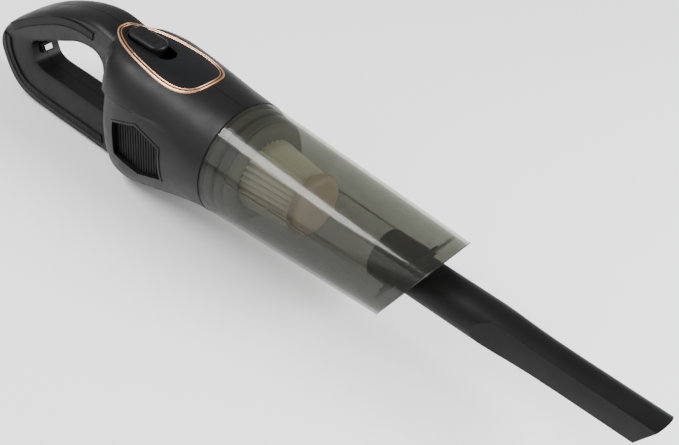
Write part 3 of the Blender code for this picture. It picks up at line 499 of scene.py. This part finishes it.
def filter_paper(colour):
    """Soft cream paper with visible fibres."""
    material, nodes, links, shader, coordinates = new_material("filter_paper")
    fibre = noise(nodes, links, coordinates, 700.0, 8.0, 0.7)
    ramp_colour(nodes, links, fibre.outputs["Fac"], colour, 0.82, 1.08, shader.inputs["Base Color"])
    add_bump(nodes, links, fibre.outputs["Fac"], 0.4, 0.1 * MM, shader)
    cloud = noise(nodes, links, coordinates, 60.0)
    ramp_value(nodes, links, cloud.outputs["Fac"], 0.75, 0.9, shader.inputs["Roughness"])
    return material


def colours():
    return bpy.context.scene.vacuum_colours


def sizes():
    return bpy.context.scene.vacuum_sizes


def shell_black():
    return moulded("shell_black", colours().shell, 0.42, grain=3200.0, strength=0.18)


def trim_black():
    return moulded("trim_black", colours().trim, 0.5, grain=2400.0, strength=0.3, specular=0.13)


# ---------------------------------------------------------------- housing


def handle_slab(name, sign, inset):
    """Half of the loop handle: its side outline stacked outwards and rounded at the face."""
    outline = smooth_line(in_metres(HANDLE_LINE), 8)
    half = HANDLE_HALF - inset
    levels = (
        (-3 * MM, 0.0), (half * 0.35, 0.0), (half * 0.58, 0.3), (half * 0.75, 0.8),
        (half * 0.87, 1.5), (half * 0.95, 2.3), (half, 3.1),
    )
    rings = []
    for y, depth in levels:
        moved = offset_outline(outline, depth * MM + inset)
        rings.append([(x, sign * y, z) for x, z in moved])
    return loft(name, rings)


def hole_cutter(name, grow):
    """The finger hole: a throat that flares to the rim at both side faces."""
    rim = offset_outline(smooth_line(in_metres(HOLE_RIM), 8, closed=True), -grow)
    throat = offset_outline(smooth_line(in_metres(HOLE_THROAT), 8, closed=True), -grow)
    # Half widths of the flare, and how far each has opened from throat to rim
    levels = [
        (11.5 * MM, 0.0), (12.2 * MM, 0.06), (13.1 * MM, 0.26), (14.2 * MM, 0.62), (HANDLE_HALF, 1.0),
        (34.0 * MM, 1.0),
    ]
    rings = []
    for y, share in [(-y, share) for y, share in reversed(levels)] + levels:
        rings.append([
            (a[0] + (b[0] - a[0]) * share, y, a[1] + (b[1] - a[1]) * share) for a, b in zip(throat, rim)
        ])
    return loft(name, rings)


def vent_outline(grow=0.0):
    """Six-sided exhaust window in the side view."""
    half, side, peak = VENT_HALF + grow, VENT_SIDE + grow * 0.6, VENT_SIDE + VENT_RISE + grow
    points = [(-half, -side), (0, -peak), (half, -side), (half, side), (0, peak), (-half, side)]
    return [(VENT_X + x, VENT_Z + z + VENT_TILT * x) for x, z in points]


def make_shell(side, sign):
    """One half shell: body and handle joined, hollowed, and cut for the vents, hole and switch."""
    wall = sizes().wall
    shell = body_loft(f"shell_{side}", sign, 0.0)
    combine(shell, handle_slab("slab", sign, 0.0), "UNION")
    combine(shell, hole_cutter("hole", 0.0))
    cavity = body_loft("cavity", sign, wall, start=1 * MM, end=wall, overlap=3 * MM)
    combine(cavity, handle_slab("core", sign, wall), "UNION")
    combine(cavity, hole_cutter("hole_wall", wall))
    combine(shell, cavity)
    combine(shell, prism("vent", vent_outline(), (sign * 20 * MM, sign * 60 * MM)))
    pocket = stadium(SWITCH_X, 43 * MM, 14 * MM)
    combine(shell, prism("pocket", pocket, (25 * MM, 60 * MM), "Z"))
    near, far = sorted((sign * 0.15 * MM, -sign * 100 * MM))
    combine(shell, block("split", (-300 * MM, near, -150 * MM), (80 * MM, far, 140 * MM)))
    return shell


class VACUUM_OT_shells(bpy.types.Operator):
    """Build both half shells of the motor housing and its loop handle"""

    bl_idname = "vacuum.shells"
    bl_label = "Housing shells"

    def execute(self, context):
        for side, sign in (("right", -1), ("left", 1)):
            shell = make_shell(side, sign)
            settle(shell, "housing", shell_black(), (f"housing_{side}",), angle=28)
        return {"FINISHED"}


class VACUUM_OT_grip_rims(bpy.types.Operator):
    """Lay the trim bands on the handle's side faces, round the finger hole"""

    bl_idname = "vacuum.grip_rims"
    bl_label = "Grip rims"

    def execute(self, context):
        rim = in_metres(HOLE_RIM)
        inner = offset_outline(rim, -0.5 * MM)
        outer = offset_outline(rim, -7.4 * MM)
        # Across the band, how far from its inner to its outer edge, and how far from the middle plane
        profile = (
            (0.0, 15.0), (0.0, 16.1), (0.04, 16.4), (0.1, 16.4), (0.14, 15.9),
            (0.86, 15.9), (0.9, 16.4), (0.96, 16.4), (1.0, 16.1), (1.0, 15.0),
        )
        # The first and last point of the rim that each band follows
        for name, first, last in (("upper", 3, 8), ("lower", 9, 15)):
            near = smooth_line(inner[first:last + 1], 10)
            far = smooth_line(outer[first:last + 1], 10)
            for side, sign in (("right", -1), ("left", 1)):
                rings = [
                    [
                        (a[0] + (b[0] - a[0]) * share, sign * lift * MM, a[1] + (b[1] - a[1]) * share)
                        for share, lift in profile
                    ]
                    for a, b in zip(near, far)
                ]
                band = loft(f"grip_rim_{name}_{side}", rings)
                settle(band, "housing", trim_black(), (f"grip_trim_{name}_{side}",), angle=50)
        return {"FINISHED"}


class VACUUM_OT_exhaust(bpy.types.Operator):
    """Build the slatted grilles and their bezels in the exhaust windows"""

    bl_idname = "vacuum.exhaust"
    bl_label = "Exhaust grilles"

    def execute(self, context):
        pitch = sizes().vent_pitch
        for side, sign in (("right", -1), ("left", 1)):
            levels = sorted((sign * 33.4 * MM, sign * 35.4 * MM))
            grille = prism(f"vent_grille_{side}", vent_outline(-FIT_GAP), levels)
            count = int(48 * MM / pitch)
            for i in range(count):
                x = (i - (count - 1) / 2) * pitch
                half = VENT_SIDE + VENT_RISE * (1 - abs(x) / VENT_HALF) - 2.4 * MM
                middle = VENT_Z + VENT_TILT * x
                slit = block(
                    "slit", (VENT_X + x - pitch * 0.3, levels[0] - MM, middle - half),
                    (VENT_X + x + pitch * 0.3, levels[1] + MM, middle + half),
                )
                combine(grille, slit)
            settle(grille, "housing", trim_black(), (f"exhaust_grille_{side}",))
            bezel = body_loft(f"vent_bezel_{side}", 0, -0.5 * MM)
            outer = prism("outer", vent_outline(-0.15 * MM), (sign * 25 * MM, sign * 60 * MM))
            combine(bezel, outer, "INTERSECT")
            combine(bezel, prism("inner", vent_outline(-1.9 * MM), (sign * 20 * MM, sign * 65 * MM)))
            combine(bezel, body_loft("core", 0, 2.6 * MM))
            settle(bezel, "housing", shell_black(), (), angle=28)
        return {"FINISHED"}


# ---------------------------------------------------------------- panel and switch


def stadium(x, length, width, steps=16):
    """A slot shape with round ends, along X."""
    r = width / 2
    points = []
    for end, start in ((length / 2 - r, -math.pi / 2), (r - length / 2, math.pi / 2)):
        for i in range(steps + 1):
            angle = start + math.pi * i / steps
            points.append((x + end + r * math.cos(angle), r * math.sin(angle)))
    return points


def panel_outline(inset, steps=160):
    """Drop-shaped outline: a small round at the rear that widens to a broad round front."""
    middle, reach = (PANEL_FRONT + PANEL_REAR) / 2, (PANEL_FRONT - PANEL_REAR) / 2
    points = []
    for i in range(steps):
        angle = 2 * math.pi * i / steps
        c, s = math.cos(angle), math.sin(angle)
        x = middle + reach * math.copysign(abs(c) ** 0.85, c)
        widen = 0.77 + 0.23 * math.copysign(abs(c) ** 0.9, c)
        points.append((x, PANEL_HALF * widen * math.copysign(abs(s) ** 0.72, s)))
    return offset_outline(points, inset)


def over_top(outline, lift):
    """Lay an outline on the housing's top, raised by lift."""
    return [(x, y, body_height(x, y) + lift) for x, y in outline]


def panel_band(name, start, end, low, high):
    """A closed band that follows the housing's top between two insets of the panel outline."""
    outer, inner = panel_outline(start), panel_outline(end)
    edge = min(0.25 * MM, (high - low) / 3)
    outer_top, inner_top = panel_outline(start + edge), panel_outline(end - edge)
    rings = [
        over_top(outer, low), over_top(outer, high - edge), over_top(outer_top, high),
        over_top(inner_top, high), over_top(inner, high - edge), over_top(inner, low),
    ]
    return loft(name, rings, closed=True)


class VACUUM_OT_panel(bpy.types.Operator):
    """Build the control panel and its two copper rings"""

    bl_idname = "vacuum.panel"
    bl_label = "Control panel"

    def execute(self, context):
        copper = moulded(
            "copper_plate", colours().copper, 0.36, grain=5000.0, strength=0.02, metallic=1.0, spread=0.04
        )
        panel_black = moulded("panel_black", (0.0045, 0.0047, 0.0055), 0.36, grain=4200.0, strength=0.08)
        outer = panel_band("copper_ring_outer", 0.0, 1.35 * MM, -0.6 * MM, 0.75 * MM)
        settle(outer, "housing", copper, ("panel_ring_outer",), angle=40)
        inner = panel_band("copper_ring_inner", 2.3 * MM, 3.15 * MM, -0.6 * MM, 0.7 * MM)
        settle(inner, "housing", copper, ("panel_ring_inner",), angle=40)
        spacer = panel_band("panel_spacer", 1.4 * MM, 2.25 * MM, -0.6 * MM, 0.35 * MM)
        settle(spacer, "housing", panel_black, ("panel_ring_spacer",), angle=40)

        middle = (PANEL_FRONT + PANEL_REAR) / 2
        outline = panel_outline(3.25 * MM)
        underside, face = (0.02, 0.3, 0.6, 0.85, 1.0), (1.0, 0.99, 0.85, 0.6, 0.3, 0.02)
        rings = []
        for lift, dish, shares in ((-0.9 * MM, 0.0, underside), (0.4 * MM, 0.35 * MM, face)):
            for share in shares:
                shrunk = [(middle + (x - middle) * share, y * share) for x, y in outline]
                rings.append(over_top(shrunk, lift - dish * (1 - share)))
        plate = loft("panel_plate", rings)
        window = prism("window", stadium(SWITCH_X, 46 * MM, 17 * MM), (30 * MM, 60 * MM), "Z")
        combine(plate, window)
        settle(plate, "housing", panel_black, ("control_panel",), angle=32)
        return {"FINISHED"}


class VACUUM_OT_switch(bpy.types.Operator):
    """Build the slide switch's knob"""

    bl_idname = "vacuum.switch"
    bl_label = "Slide switch"

    def execute(self, context):
        x = SWITCH_X - 4 * MM
        rings = []
        for z, inset in ((46.0, 0.5), (47.6, 0.1), (48.3, 0.0), (48.9, 0.35), (49.3, 1.0), (49.55, 1.9)):
            outline = stadium(x, (33 - 2 * inset) * MM, (14.4 - 2 * inset) * MM)
            rings.append([(px, py, z * MM) for px, py in outline])
        knob = loft("switch_knob_cap", rings)
        dish = prism("dish", stadium(x, 27.5 * MM, 9.2 * MM), (49.15 * MM, 60 * MM), "Z")
        combine(knob, dish)
        soften(knob, 0.35 * MM, 2, 40)
        for i in range(9):
            start = x + (-9.4 + i * 2.2) * MM
            rib = block("rib", (start, -3.2 * MM, 48.6 * MM), (start + 0.9 * MM, 3.2 * MM, 49.4 * MM))
            combine(knob, rib, "UNION")
        knob_black = moulded("knob_black", (0.006, 0.006, 0.0065), 0.4, grain=2600.0, strength=0.2)
        settle(knob, "switch", knob_black, ("switch_knob",), angle=40)
        return {"FINISHED"}


# ---------------------------------------------------------------- cup, collar and filter


def cup_radius(x):
    """Outer radius of the cup at x."""
    return 40.6 * MM - sizes().cup_taper * x


def sloped_cutter(name, x, slope, back=False):
    """A wedge that removes everything in front of (or behind) a plane leaning forwards at the top."""
    tall, wide, deep = 120 * MM, 120 * MM, 300 * MM
    reach = -deep if back else deep
    low, high = x - slope * tall, x + slope * tall
    outline = [(low, -tall), (high, tall), (high + reach, tall), (low + reach, -tall)]
    return prism(name, outline, (-wide, wide))


def keep_slice(piece, rear, front):
    """Keep what lies between two planes that slope as the cup's mouth does."""
    combine(piece, sloped_cutter("front", front, MOUTH_SLOPE))
    combine(piece, sloped_cutter("rear", rear, MOUTH_SLOPE, back=True))


class VACUUM_OT_collar(bpy.types.Operator):
    """Build the grey spigot that carries the cup and the filter"""

    bl_idname = "vacuum.collar"
    bl_label = "Cup spigot"

    def execute(self, context):
        r = SPIGOT_RADIUS
        profile = [
            (-4 * MM, 38.3 * MM), (-0.3 * MM, 38.3 * MM), (-0.3 * MM, r), (8.5 * MM, r),
            (8.5 * MM, r - 1.2 * MM), (11.5 * MM, r - 1.2 * MM), (11.5 * MM, r), (17.1 * MM, r),
            (17.5 * MM, r - 0.4 * MM), (17.5 * MM, r - 2.4 * MM), (2.4 * MM, r - 2.4 * MM),
            (2.4 * MM, 23 * MM), (-4 * MM, 23 * MM),
        ]
        spigot = turned("spigot_collar", profile)
        for angle in (90, 210, 330):
            lug = block("lug", (2.8 * MM, -4 * MM, r - 1 * MM), (7.2 * MM, 4 * MM, r + 1 * MM))
            turn_about_axis(lug, -angle)
            combine(spigot, lug, "UNION")
        material = moulded("collar_grey", (0.10, 0.10, 0.095), 0.38, grain=2600.0, strength=0.2)
        settle(spigot, "housing", material, ("cup_spigot",))
        return {"FINISHED"}


class VACUUM_OT_cup(bpy.types.Operator):
    """Build the smoky clear dust cup with its sloped mouth, front wall and seam ribs"""

    bl_idname = "vacuum.cup"
    bl_label = "Dust cup"

    def execute(self, context):
        bore = SPIGOT_RADIUS + FIT_GAP
        groove = SPIGOT_RADIUS + 1.3 * MM
        profile = [
            (0.3 * MM, cup_radius(0) - 0.5 * MM), (0.8 * MM, cup_radius(0)),
            (BLANK_FRONT, cup_radius(BLANK_FRONT)), (BLANK_FRONT, cup_radius(BLANK_FRONT) - CUP_WALL),
            (18.5 * MM, cup_radius(18.5 * MM) - CUP_WALL), (17.5 * MM, bore),
            (7.9 * MM, bore), (7.9 * MM, groove), (2.1 * MM, groove), (2.1 * MM, bore), (0.3 * MM, bore),
        ]
        cup = turned("clear_cup", profile, 144)
        combine(cup, sloped_cutter("mouth", 153.5 * MM, MOUTH_SLOPE))
        # The different top and bottom shares paint shade on the cup's lower side
        clear = smoky_clear("smoke_clear", colours().smoke, 0.45, 0.66)
        settle(cup, "cup", clear, ("dust_cup",), angle=30)

        rear, front = cup_radius(BLANK_REAR), cup_radius(BLANK_FRONT)
        inset = CUP_WALL + 0.1 * MM
        wall = turned("front_wall", [
            (BLANK_REAR, rear - inset), (BLANK_FRONT, front - inset), (BLANK_FRONT, 17 * MM),
            (BLANK_REAR, 17 * MM),
        ])
        keep_slice(wall, 143.7 * MM, 145.7 * MM)
        settle(wall, "cup", clear, (), angle=30)

        proud, inset = 0.05 * MM, CUP_WALL + 0.15 * MM
        lip = turned("cup_lip", [
            (BLANK_REAR, rear + proud), (BLANK_FRONT, front + proud), (BLANK_FRONT, front - inset),
            (BLANK_REAR, rear - inset),
        ], 144)
        keep_slice(lip, 153.6 * MM, 154.7 * MM)
        edge = smoky_clear("smoke_edge", (0.016, 0.016, 0.014), 0.86, 0.86, 0.2)
        settle(lip, "cup", edge, (), angle=30)

        seam = smoky_clear("smoke_rib", (0.006, 0.006, 0.005), 0.6, 0.6)
        half, deep = 0.45 * MM, 0.2 * MM
        ends = [(x, cup_radius(x) - CUP_WALL - 0.08 * MM) for x in (20 * MM, 128 * MM)]
        for name, degrees in (("near", 72), ("far", -108)):
            rib = loft(f"cup_rib_{name}", [
                [(x, -half, r - deep), (x, half, r - deep), (x, half, r), (x, -half, r)] for x, r in ends
            ])
            turn_about_axis(rib, degrees)
            settle(rib, "cup", seam)
        return {"FINISHED"}


class VACUUM_OT_inlet(bpy.types.Operator):
    """Build the black inlet sleeve and the flare where it passes the cup's front wall"""

    bl_idname = "vacuum.inlet"
    bl_label = "Inlet sleeve"

    def execute(self, context):
        r = INLET_RADIUS
        rear = 123 * MM
        sleeve = turned("inlet_sleeve", [
            (rear, r - 0.4 * MM), (rear + 0.4 * MM, r), (136 * MM, r), (BLANK_FRONT, r),
            (BLANK_FRONT, r - 2.4 * MM), (rear, r - 2.4 * MM),
        ])
        combine(sleeve, sloped_cutter("end", 146.9 * MM, MOUTH_SLOPE))
        settle(sleeve, "cup", trim_black(), ("inlet_duct",))

        r += 0.08 * MM
        flare = turned("inlet_flare", [(110 * MM, r), (180 * MM, r), (180 * MM, 21 * MM), (110 * MM, 21 * MM)])
        keep_slice(flare, 141.6 * MM, 143.6 * MM)
        soften(flare, 0.7 * MM, 3, 40)
        settle(flare, "cup", trim_black())
        return {"FINISHED"}


class VACUUM_OT_filter(bpy.types.Operator):
    """Build the pleated cone filter with its flange and end cap"""

    bl_idname = "vacuum.filter"
    bl_label = "Cone filter"

    def execute(self, context):
        base = 17.8 * MM
        bore = SPIGOT_RADIUS - 2.7 * MM
        profile = [
            (base - 8 * MM, bore), (base, bore), (base, bore + 1.2 * MM), (base + 1.2 * MM, bore + 1.2 * MM),
            (base + 3 * MM, bore - 1 * MM), (base + 3 * MM, 20.8 * MM), (base - 8 * MM, 20.8 * MM),
        ]
        flange = turned("filter_seat", profile)
        soften(flange, 0.4 * MM, 2, 40)
        flange_grey = moulded("flange_grey", (0.15, 0.15, 0.14), 0.5, grain=2400.0, strength=0.2)
        settle(flange, "filter", flange_grey, ("filter_flange",))

        pleats = sizes().pleats
        sides = pleats * 8

        def pleated(x, radius):
            ring = []
            for i in range(sides):
                angle = 2 * math.pi * i / sides
                fold = 0.5 - 0.5 * math.cos(angle * pleats)
                r = radius - 2.8 * MM * fold ** 0.8
                ring.append((x, r * math.sin(angle), r * math.cos(angle)))
            return ring

        start, end, spans, paper = base + 3.3 * MM, 60 * MM, 6, 0.8 * MM
        rows = [(start + (end - start) * i / spans, (25.4 - 4.7 * i / spans) * MM) for i in range(spans + 1)]
        outer = [pleated(x, r) for x, r in rows]
        inner = [pleated(x, r - paper) for x, r in reversed(rows)]
        media = loft("pleated_cone", outer + inner, closed=True)
        settle(media, "filter", filter_paper(colours().paper), ("filter_media",), angle=60)

        x, r = 60.3 * MM, 21.3 * MM
        profile = [
            (x, 0.0), (x, r - 0.3 * MM), (x + 0.4 * MM, r), (x + 4.6 * MM, r), (x + 6.0 * MM, r - 0.7 * MM),
            (x + 6.8 * MM, r - 2.0 * MM), (x + 7 * MM, r - 3.5 * MM), (x + 6.2 * MM, r - 5.5 * MM),
            (x + 6.0 * MM, 0.0),
        ]
        cap = turned("filter_cap", profile)
        cap_brown = moulded("cap_brown", colours().cap, 0.5, grain=2000.0, strength=0.25)
        settle(cap, "filter", cap_brown, ("filter_end_cap",))
        return {"FINISHED"}


class VACUUM_OT_tool(bpy.types.Operator):
    """Build the crevice tool: a round tube with flat sides that start in a curved edge"""

    bl_idname = "vacuum.tool"
    bl_label = "Crevice tool"

    def execute(self, context):
        def oval(rows, steps=96):
            """Rings at each (x, half width, half height), in millimetres."""
            rings = []
            for x, wide, tall in in_metres(rows):
                turns = [2 * math.pi * i / steps for i in range(steps)]
                rings.append([(x, wide * math.sin(angle), tall * math.cos(angle)) for angle in turns])
            return rings

        tool = loft("crevice_body", oval([
            (126, 14, 14), (205, 14, 14), (216, 13.8, 13.6), (230, 13.2, 12.7), (240, 12.8, 12.2),
            (260, 12.4, 12.0), (340, 12.0, 12.0),
        ]))
        for sign in (-1, 1):
            outline = [(198, 14.6), (209, 9.6), (222, 8.5), (350, 8.5), (350, 30), (198, 30)]
            flat = prism("flat", [(x * MM, sign * y * MM) for x, y in outline], (-40 * MM, 40 * MM), "Z")
            combine(tool, flat)
        bore = loft("bore", oval([
            (120, 12.2, 12.2), (194, 12.2, 12.2), (208, 7.4, 11.2), (222, 6.8, 10.6), (240, 6.7, 10.2),
            (350, 6.7, 10.2),
        ]))
        combine(tool, bore)
        combine(tool, sloped_cutter("tip", TIP_X, TIP_SLOPE))
        soften(tool, 0.45 * MM, 3, 28)
        settle(tool, "tool", trim_black(), ("crevice_tool",), angle=25)
        return {"FINISHED"}


# ---------------------------------------------------------------- carried-over nodes and stage


class VACUUM_OT_inner_finishes(bpy.types.Operator):
    """Give the frame's own visible and inner pieces their finishes"""

    bl_idname = "vacuum.inner_finishes"
    bl_label = "Inner finishes"

    def execute(self, context):
        steel = moulded("zinc_steel", (0.60, 0.60, 0.61), 0.34, grain=1800.0, strength=0.1, metallic=1.0)
        finishes = {
            steel: ("motor_can", "motor_shaft", "charge_contact", "shell_screw_"),
            moulded("pressed_aluminium", (0.72, 0.72, 0.74), 0.38, metallic=1.0): ("impeller",),
            moulded("seal_rubber", (0.012, 0.012, 0.012), 0.75, grain=1500.0): ("cup_seal", "motor_mount_ring"),
            moulded("exhaust_foam", (0.010, 0.010, 0.010), 0.93, grain=900.0, strength=1.0): ("exhaust_foam_",),
            moulded("cell_sleeve", (0.05, 0.20, 0.42), 0.36, grain=2500.0): ("battery_cell_",),
            moulded("board_green", (0.02, 0.16, 0.06), 0.45, grain=700.0): ("circuit_board",),
            moulded("cage_grey", (0.36, 0.34, 0.30), 0.55): ("filter_cage",),
            trim_black(): (
                "battery_stop", "motor_end_cap", "motor_bulkhead", "fan_shroud", "power_switch",
                "charge_socket", "switch_slider",
            ),
        }
        for material, starts in finishes.items():
            for name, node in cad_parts.items():
                if name.startswith(starts):
                    for slot in node.material_slots:
                        slot.material = material
        return {"FINISHED"}


class VACUUM_OT_stage(bpy.types.Operator):
    """Add the pale floor, the soft lights and the camera"""

    bl_idname = "vacuum.stage"
    bl_label = "Stage"

    def execute(self, context):
        bpy.ops.object.select_all(action="DESELECT")
        bpy.ops.mesh.primitive_plane_add(size=12.0, location=(0, 0, 0))
        floor = bpy.context.object
        floor.name = "floor"
        paint, nodes, links, shader, coordinates = new_material("pale_floor")
        cloud = noise(nodes, links, coordinates, 1.5)
        pale = (0.93, 0.93, 0.93)
        ramp_colour(nodes, links, cloud.outputs["Fac"], pale, 0.995, 1.0, shader.inputs["Base Color"])
        shader.inputs["Roughness"].default_value = 0.9
        shader.inputs["Specular IOR Level"].default_value = 0.1
        floor.data.materials.append(paint)

        world = bpy.data.worlds.new("studio")
        bpy.context.scene.world = world
        world.use_nodes = True
        background = world.node_tree.nodes["Background"]
        background.inputs["Color"].default_value = (1.0, 1.0, 1.0, 1.0)
        background.inputs["Strength"].default_value = 0.55

        # Name, place, size and power in watts
        lights = (
            ("key", (-0.62, -0.48, 1.08), (0.8, 0.22), 16.0),
            ("panel", (-0.65, -1.05, 0.62), (0.7, 0.9), 4.5),
            ("front", (1.5, 0.4, 0.75), (0.8, 0.8), 90.0),
        )
        for name, place, (wide, tall), power in lights:
            data = bpy.data.lights.new(f"{name}_light", "AREA")
            data.shape = "RECTANGLE"
            data.size = wide
            data.size_y = tall
            data.energy = power
            lamp = bpy.data.objects.new(f"{name}_light", data)
            lamp.location = place
            aim = Vector((0.0, 0.0, 0.06)) - Vector(place)
            lamp.rotation_euler = aim.to_track_quat("-Z", "Y").to_euler()
            bpy.context.scene.collection.objects.link(lamp)

        azimuth, elevation, roll = (math.radians(a) for a in (37.729, 40.876, 6.6206))
        from_joint = Vector((0.4207, -0.4324, 0.4732))
        flat = math.cos(elevation)
        back = Vector((math.sin(azimuth) * flat, -math.cos(azimuth) * flat, math.sin(elevation)))
        level = Vector((math.cos(azimuth), math.sin(azimuth), 0.0))
        raised = back.cross(level)
        right = math.cos(roll) * level + math.sin(roll) * raised
        above = back.cross(right)
        camera = bpy.data.objects.new("camera", bpy.data.cameras.new("camera"))
        camera.data.lens = 61.197
        camera.data.sensor_width = 36.0
        camera.data.clip_start = 0.01
        turn = Matrix((right, above, back)).transposed().to_4x4()
        camera.matrix_world = Matrix.Translation(JOINT + from_joint) @ turn
        bpy.context.scene.collection.objects.link(camera)
        bpy.context.scene.camera = camera
        return {"FINISHED"}


# ---------------------------------------------------------------- sidebar and registration

STEPS = (
    VACUUM_OT_shells, VACUUM_OT_grip_rims, VACUUM_OT_exhaust, VACUUM_OT_panel, VACUUM_OT_switch,
    VACUUM_OT_collar, VACUUM_OT_cup, VACUUM_OT_inlet, VACUUM_OT_filter, VACUUM_OT_tool,
    VACUUM_OT_inner_finishes, VACUUM_OT_stage,
)


class VACUUM_PT_sidebar(bpy.types.Panel):
    bl_label = "Handheld vacuum"
    bl_idname = "VACUUM_PT_sidebar"
    bl_space_type = "VIEW_3D"
    bl_region_type = "UI"
    bl_category = "Vacuum"

    def draw(self, context):
        for settings in (context.scene.vacuum_sizes, context.scene.vacuum_colours):
            for name in settings.__annotations__:
                self.layout.prop(settings, name)
        for step in STEPS:
            self.layout.operator(step.bl_idname)


CLASSES = (VacuumSizes, VacuumColours, *STEPS, VACUUM_PT_sidebar)


def register():
    for cls in CLASSES:
        bpy.utils.register_class(cls)
    bpy.types.Scene.vacuum_sizes = bpy.props.PointerProperty(type=VacuumSizes)
    bpy.types.Scene.vacuum_colours = bpy.props.PointerProperty(type=VacuumColours)


def unregister():
    del bpy.types.Scene.vacuum_colours
    del bpy.types.Scene.vacuum_sizes
    for cls in reversed(CLASSES):
        bpy.utils.unregister_class(cls)


def main():
    register()
    for step in STEPS:
        group, name = step.bl_idname.split(".")
        getattr(getattr(bpy.ops, group), name)()


if __name__ == "__main__":
    main()
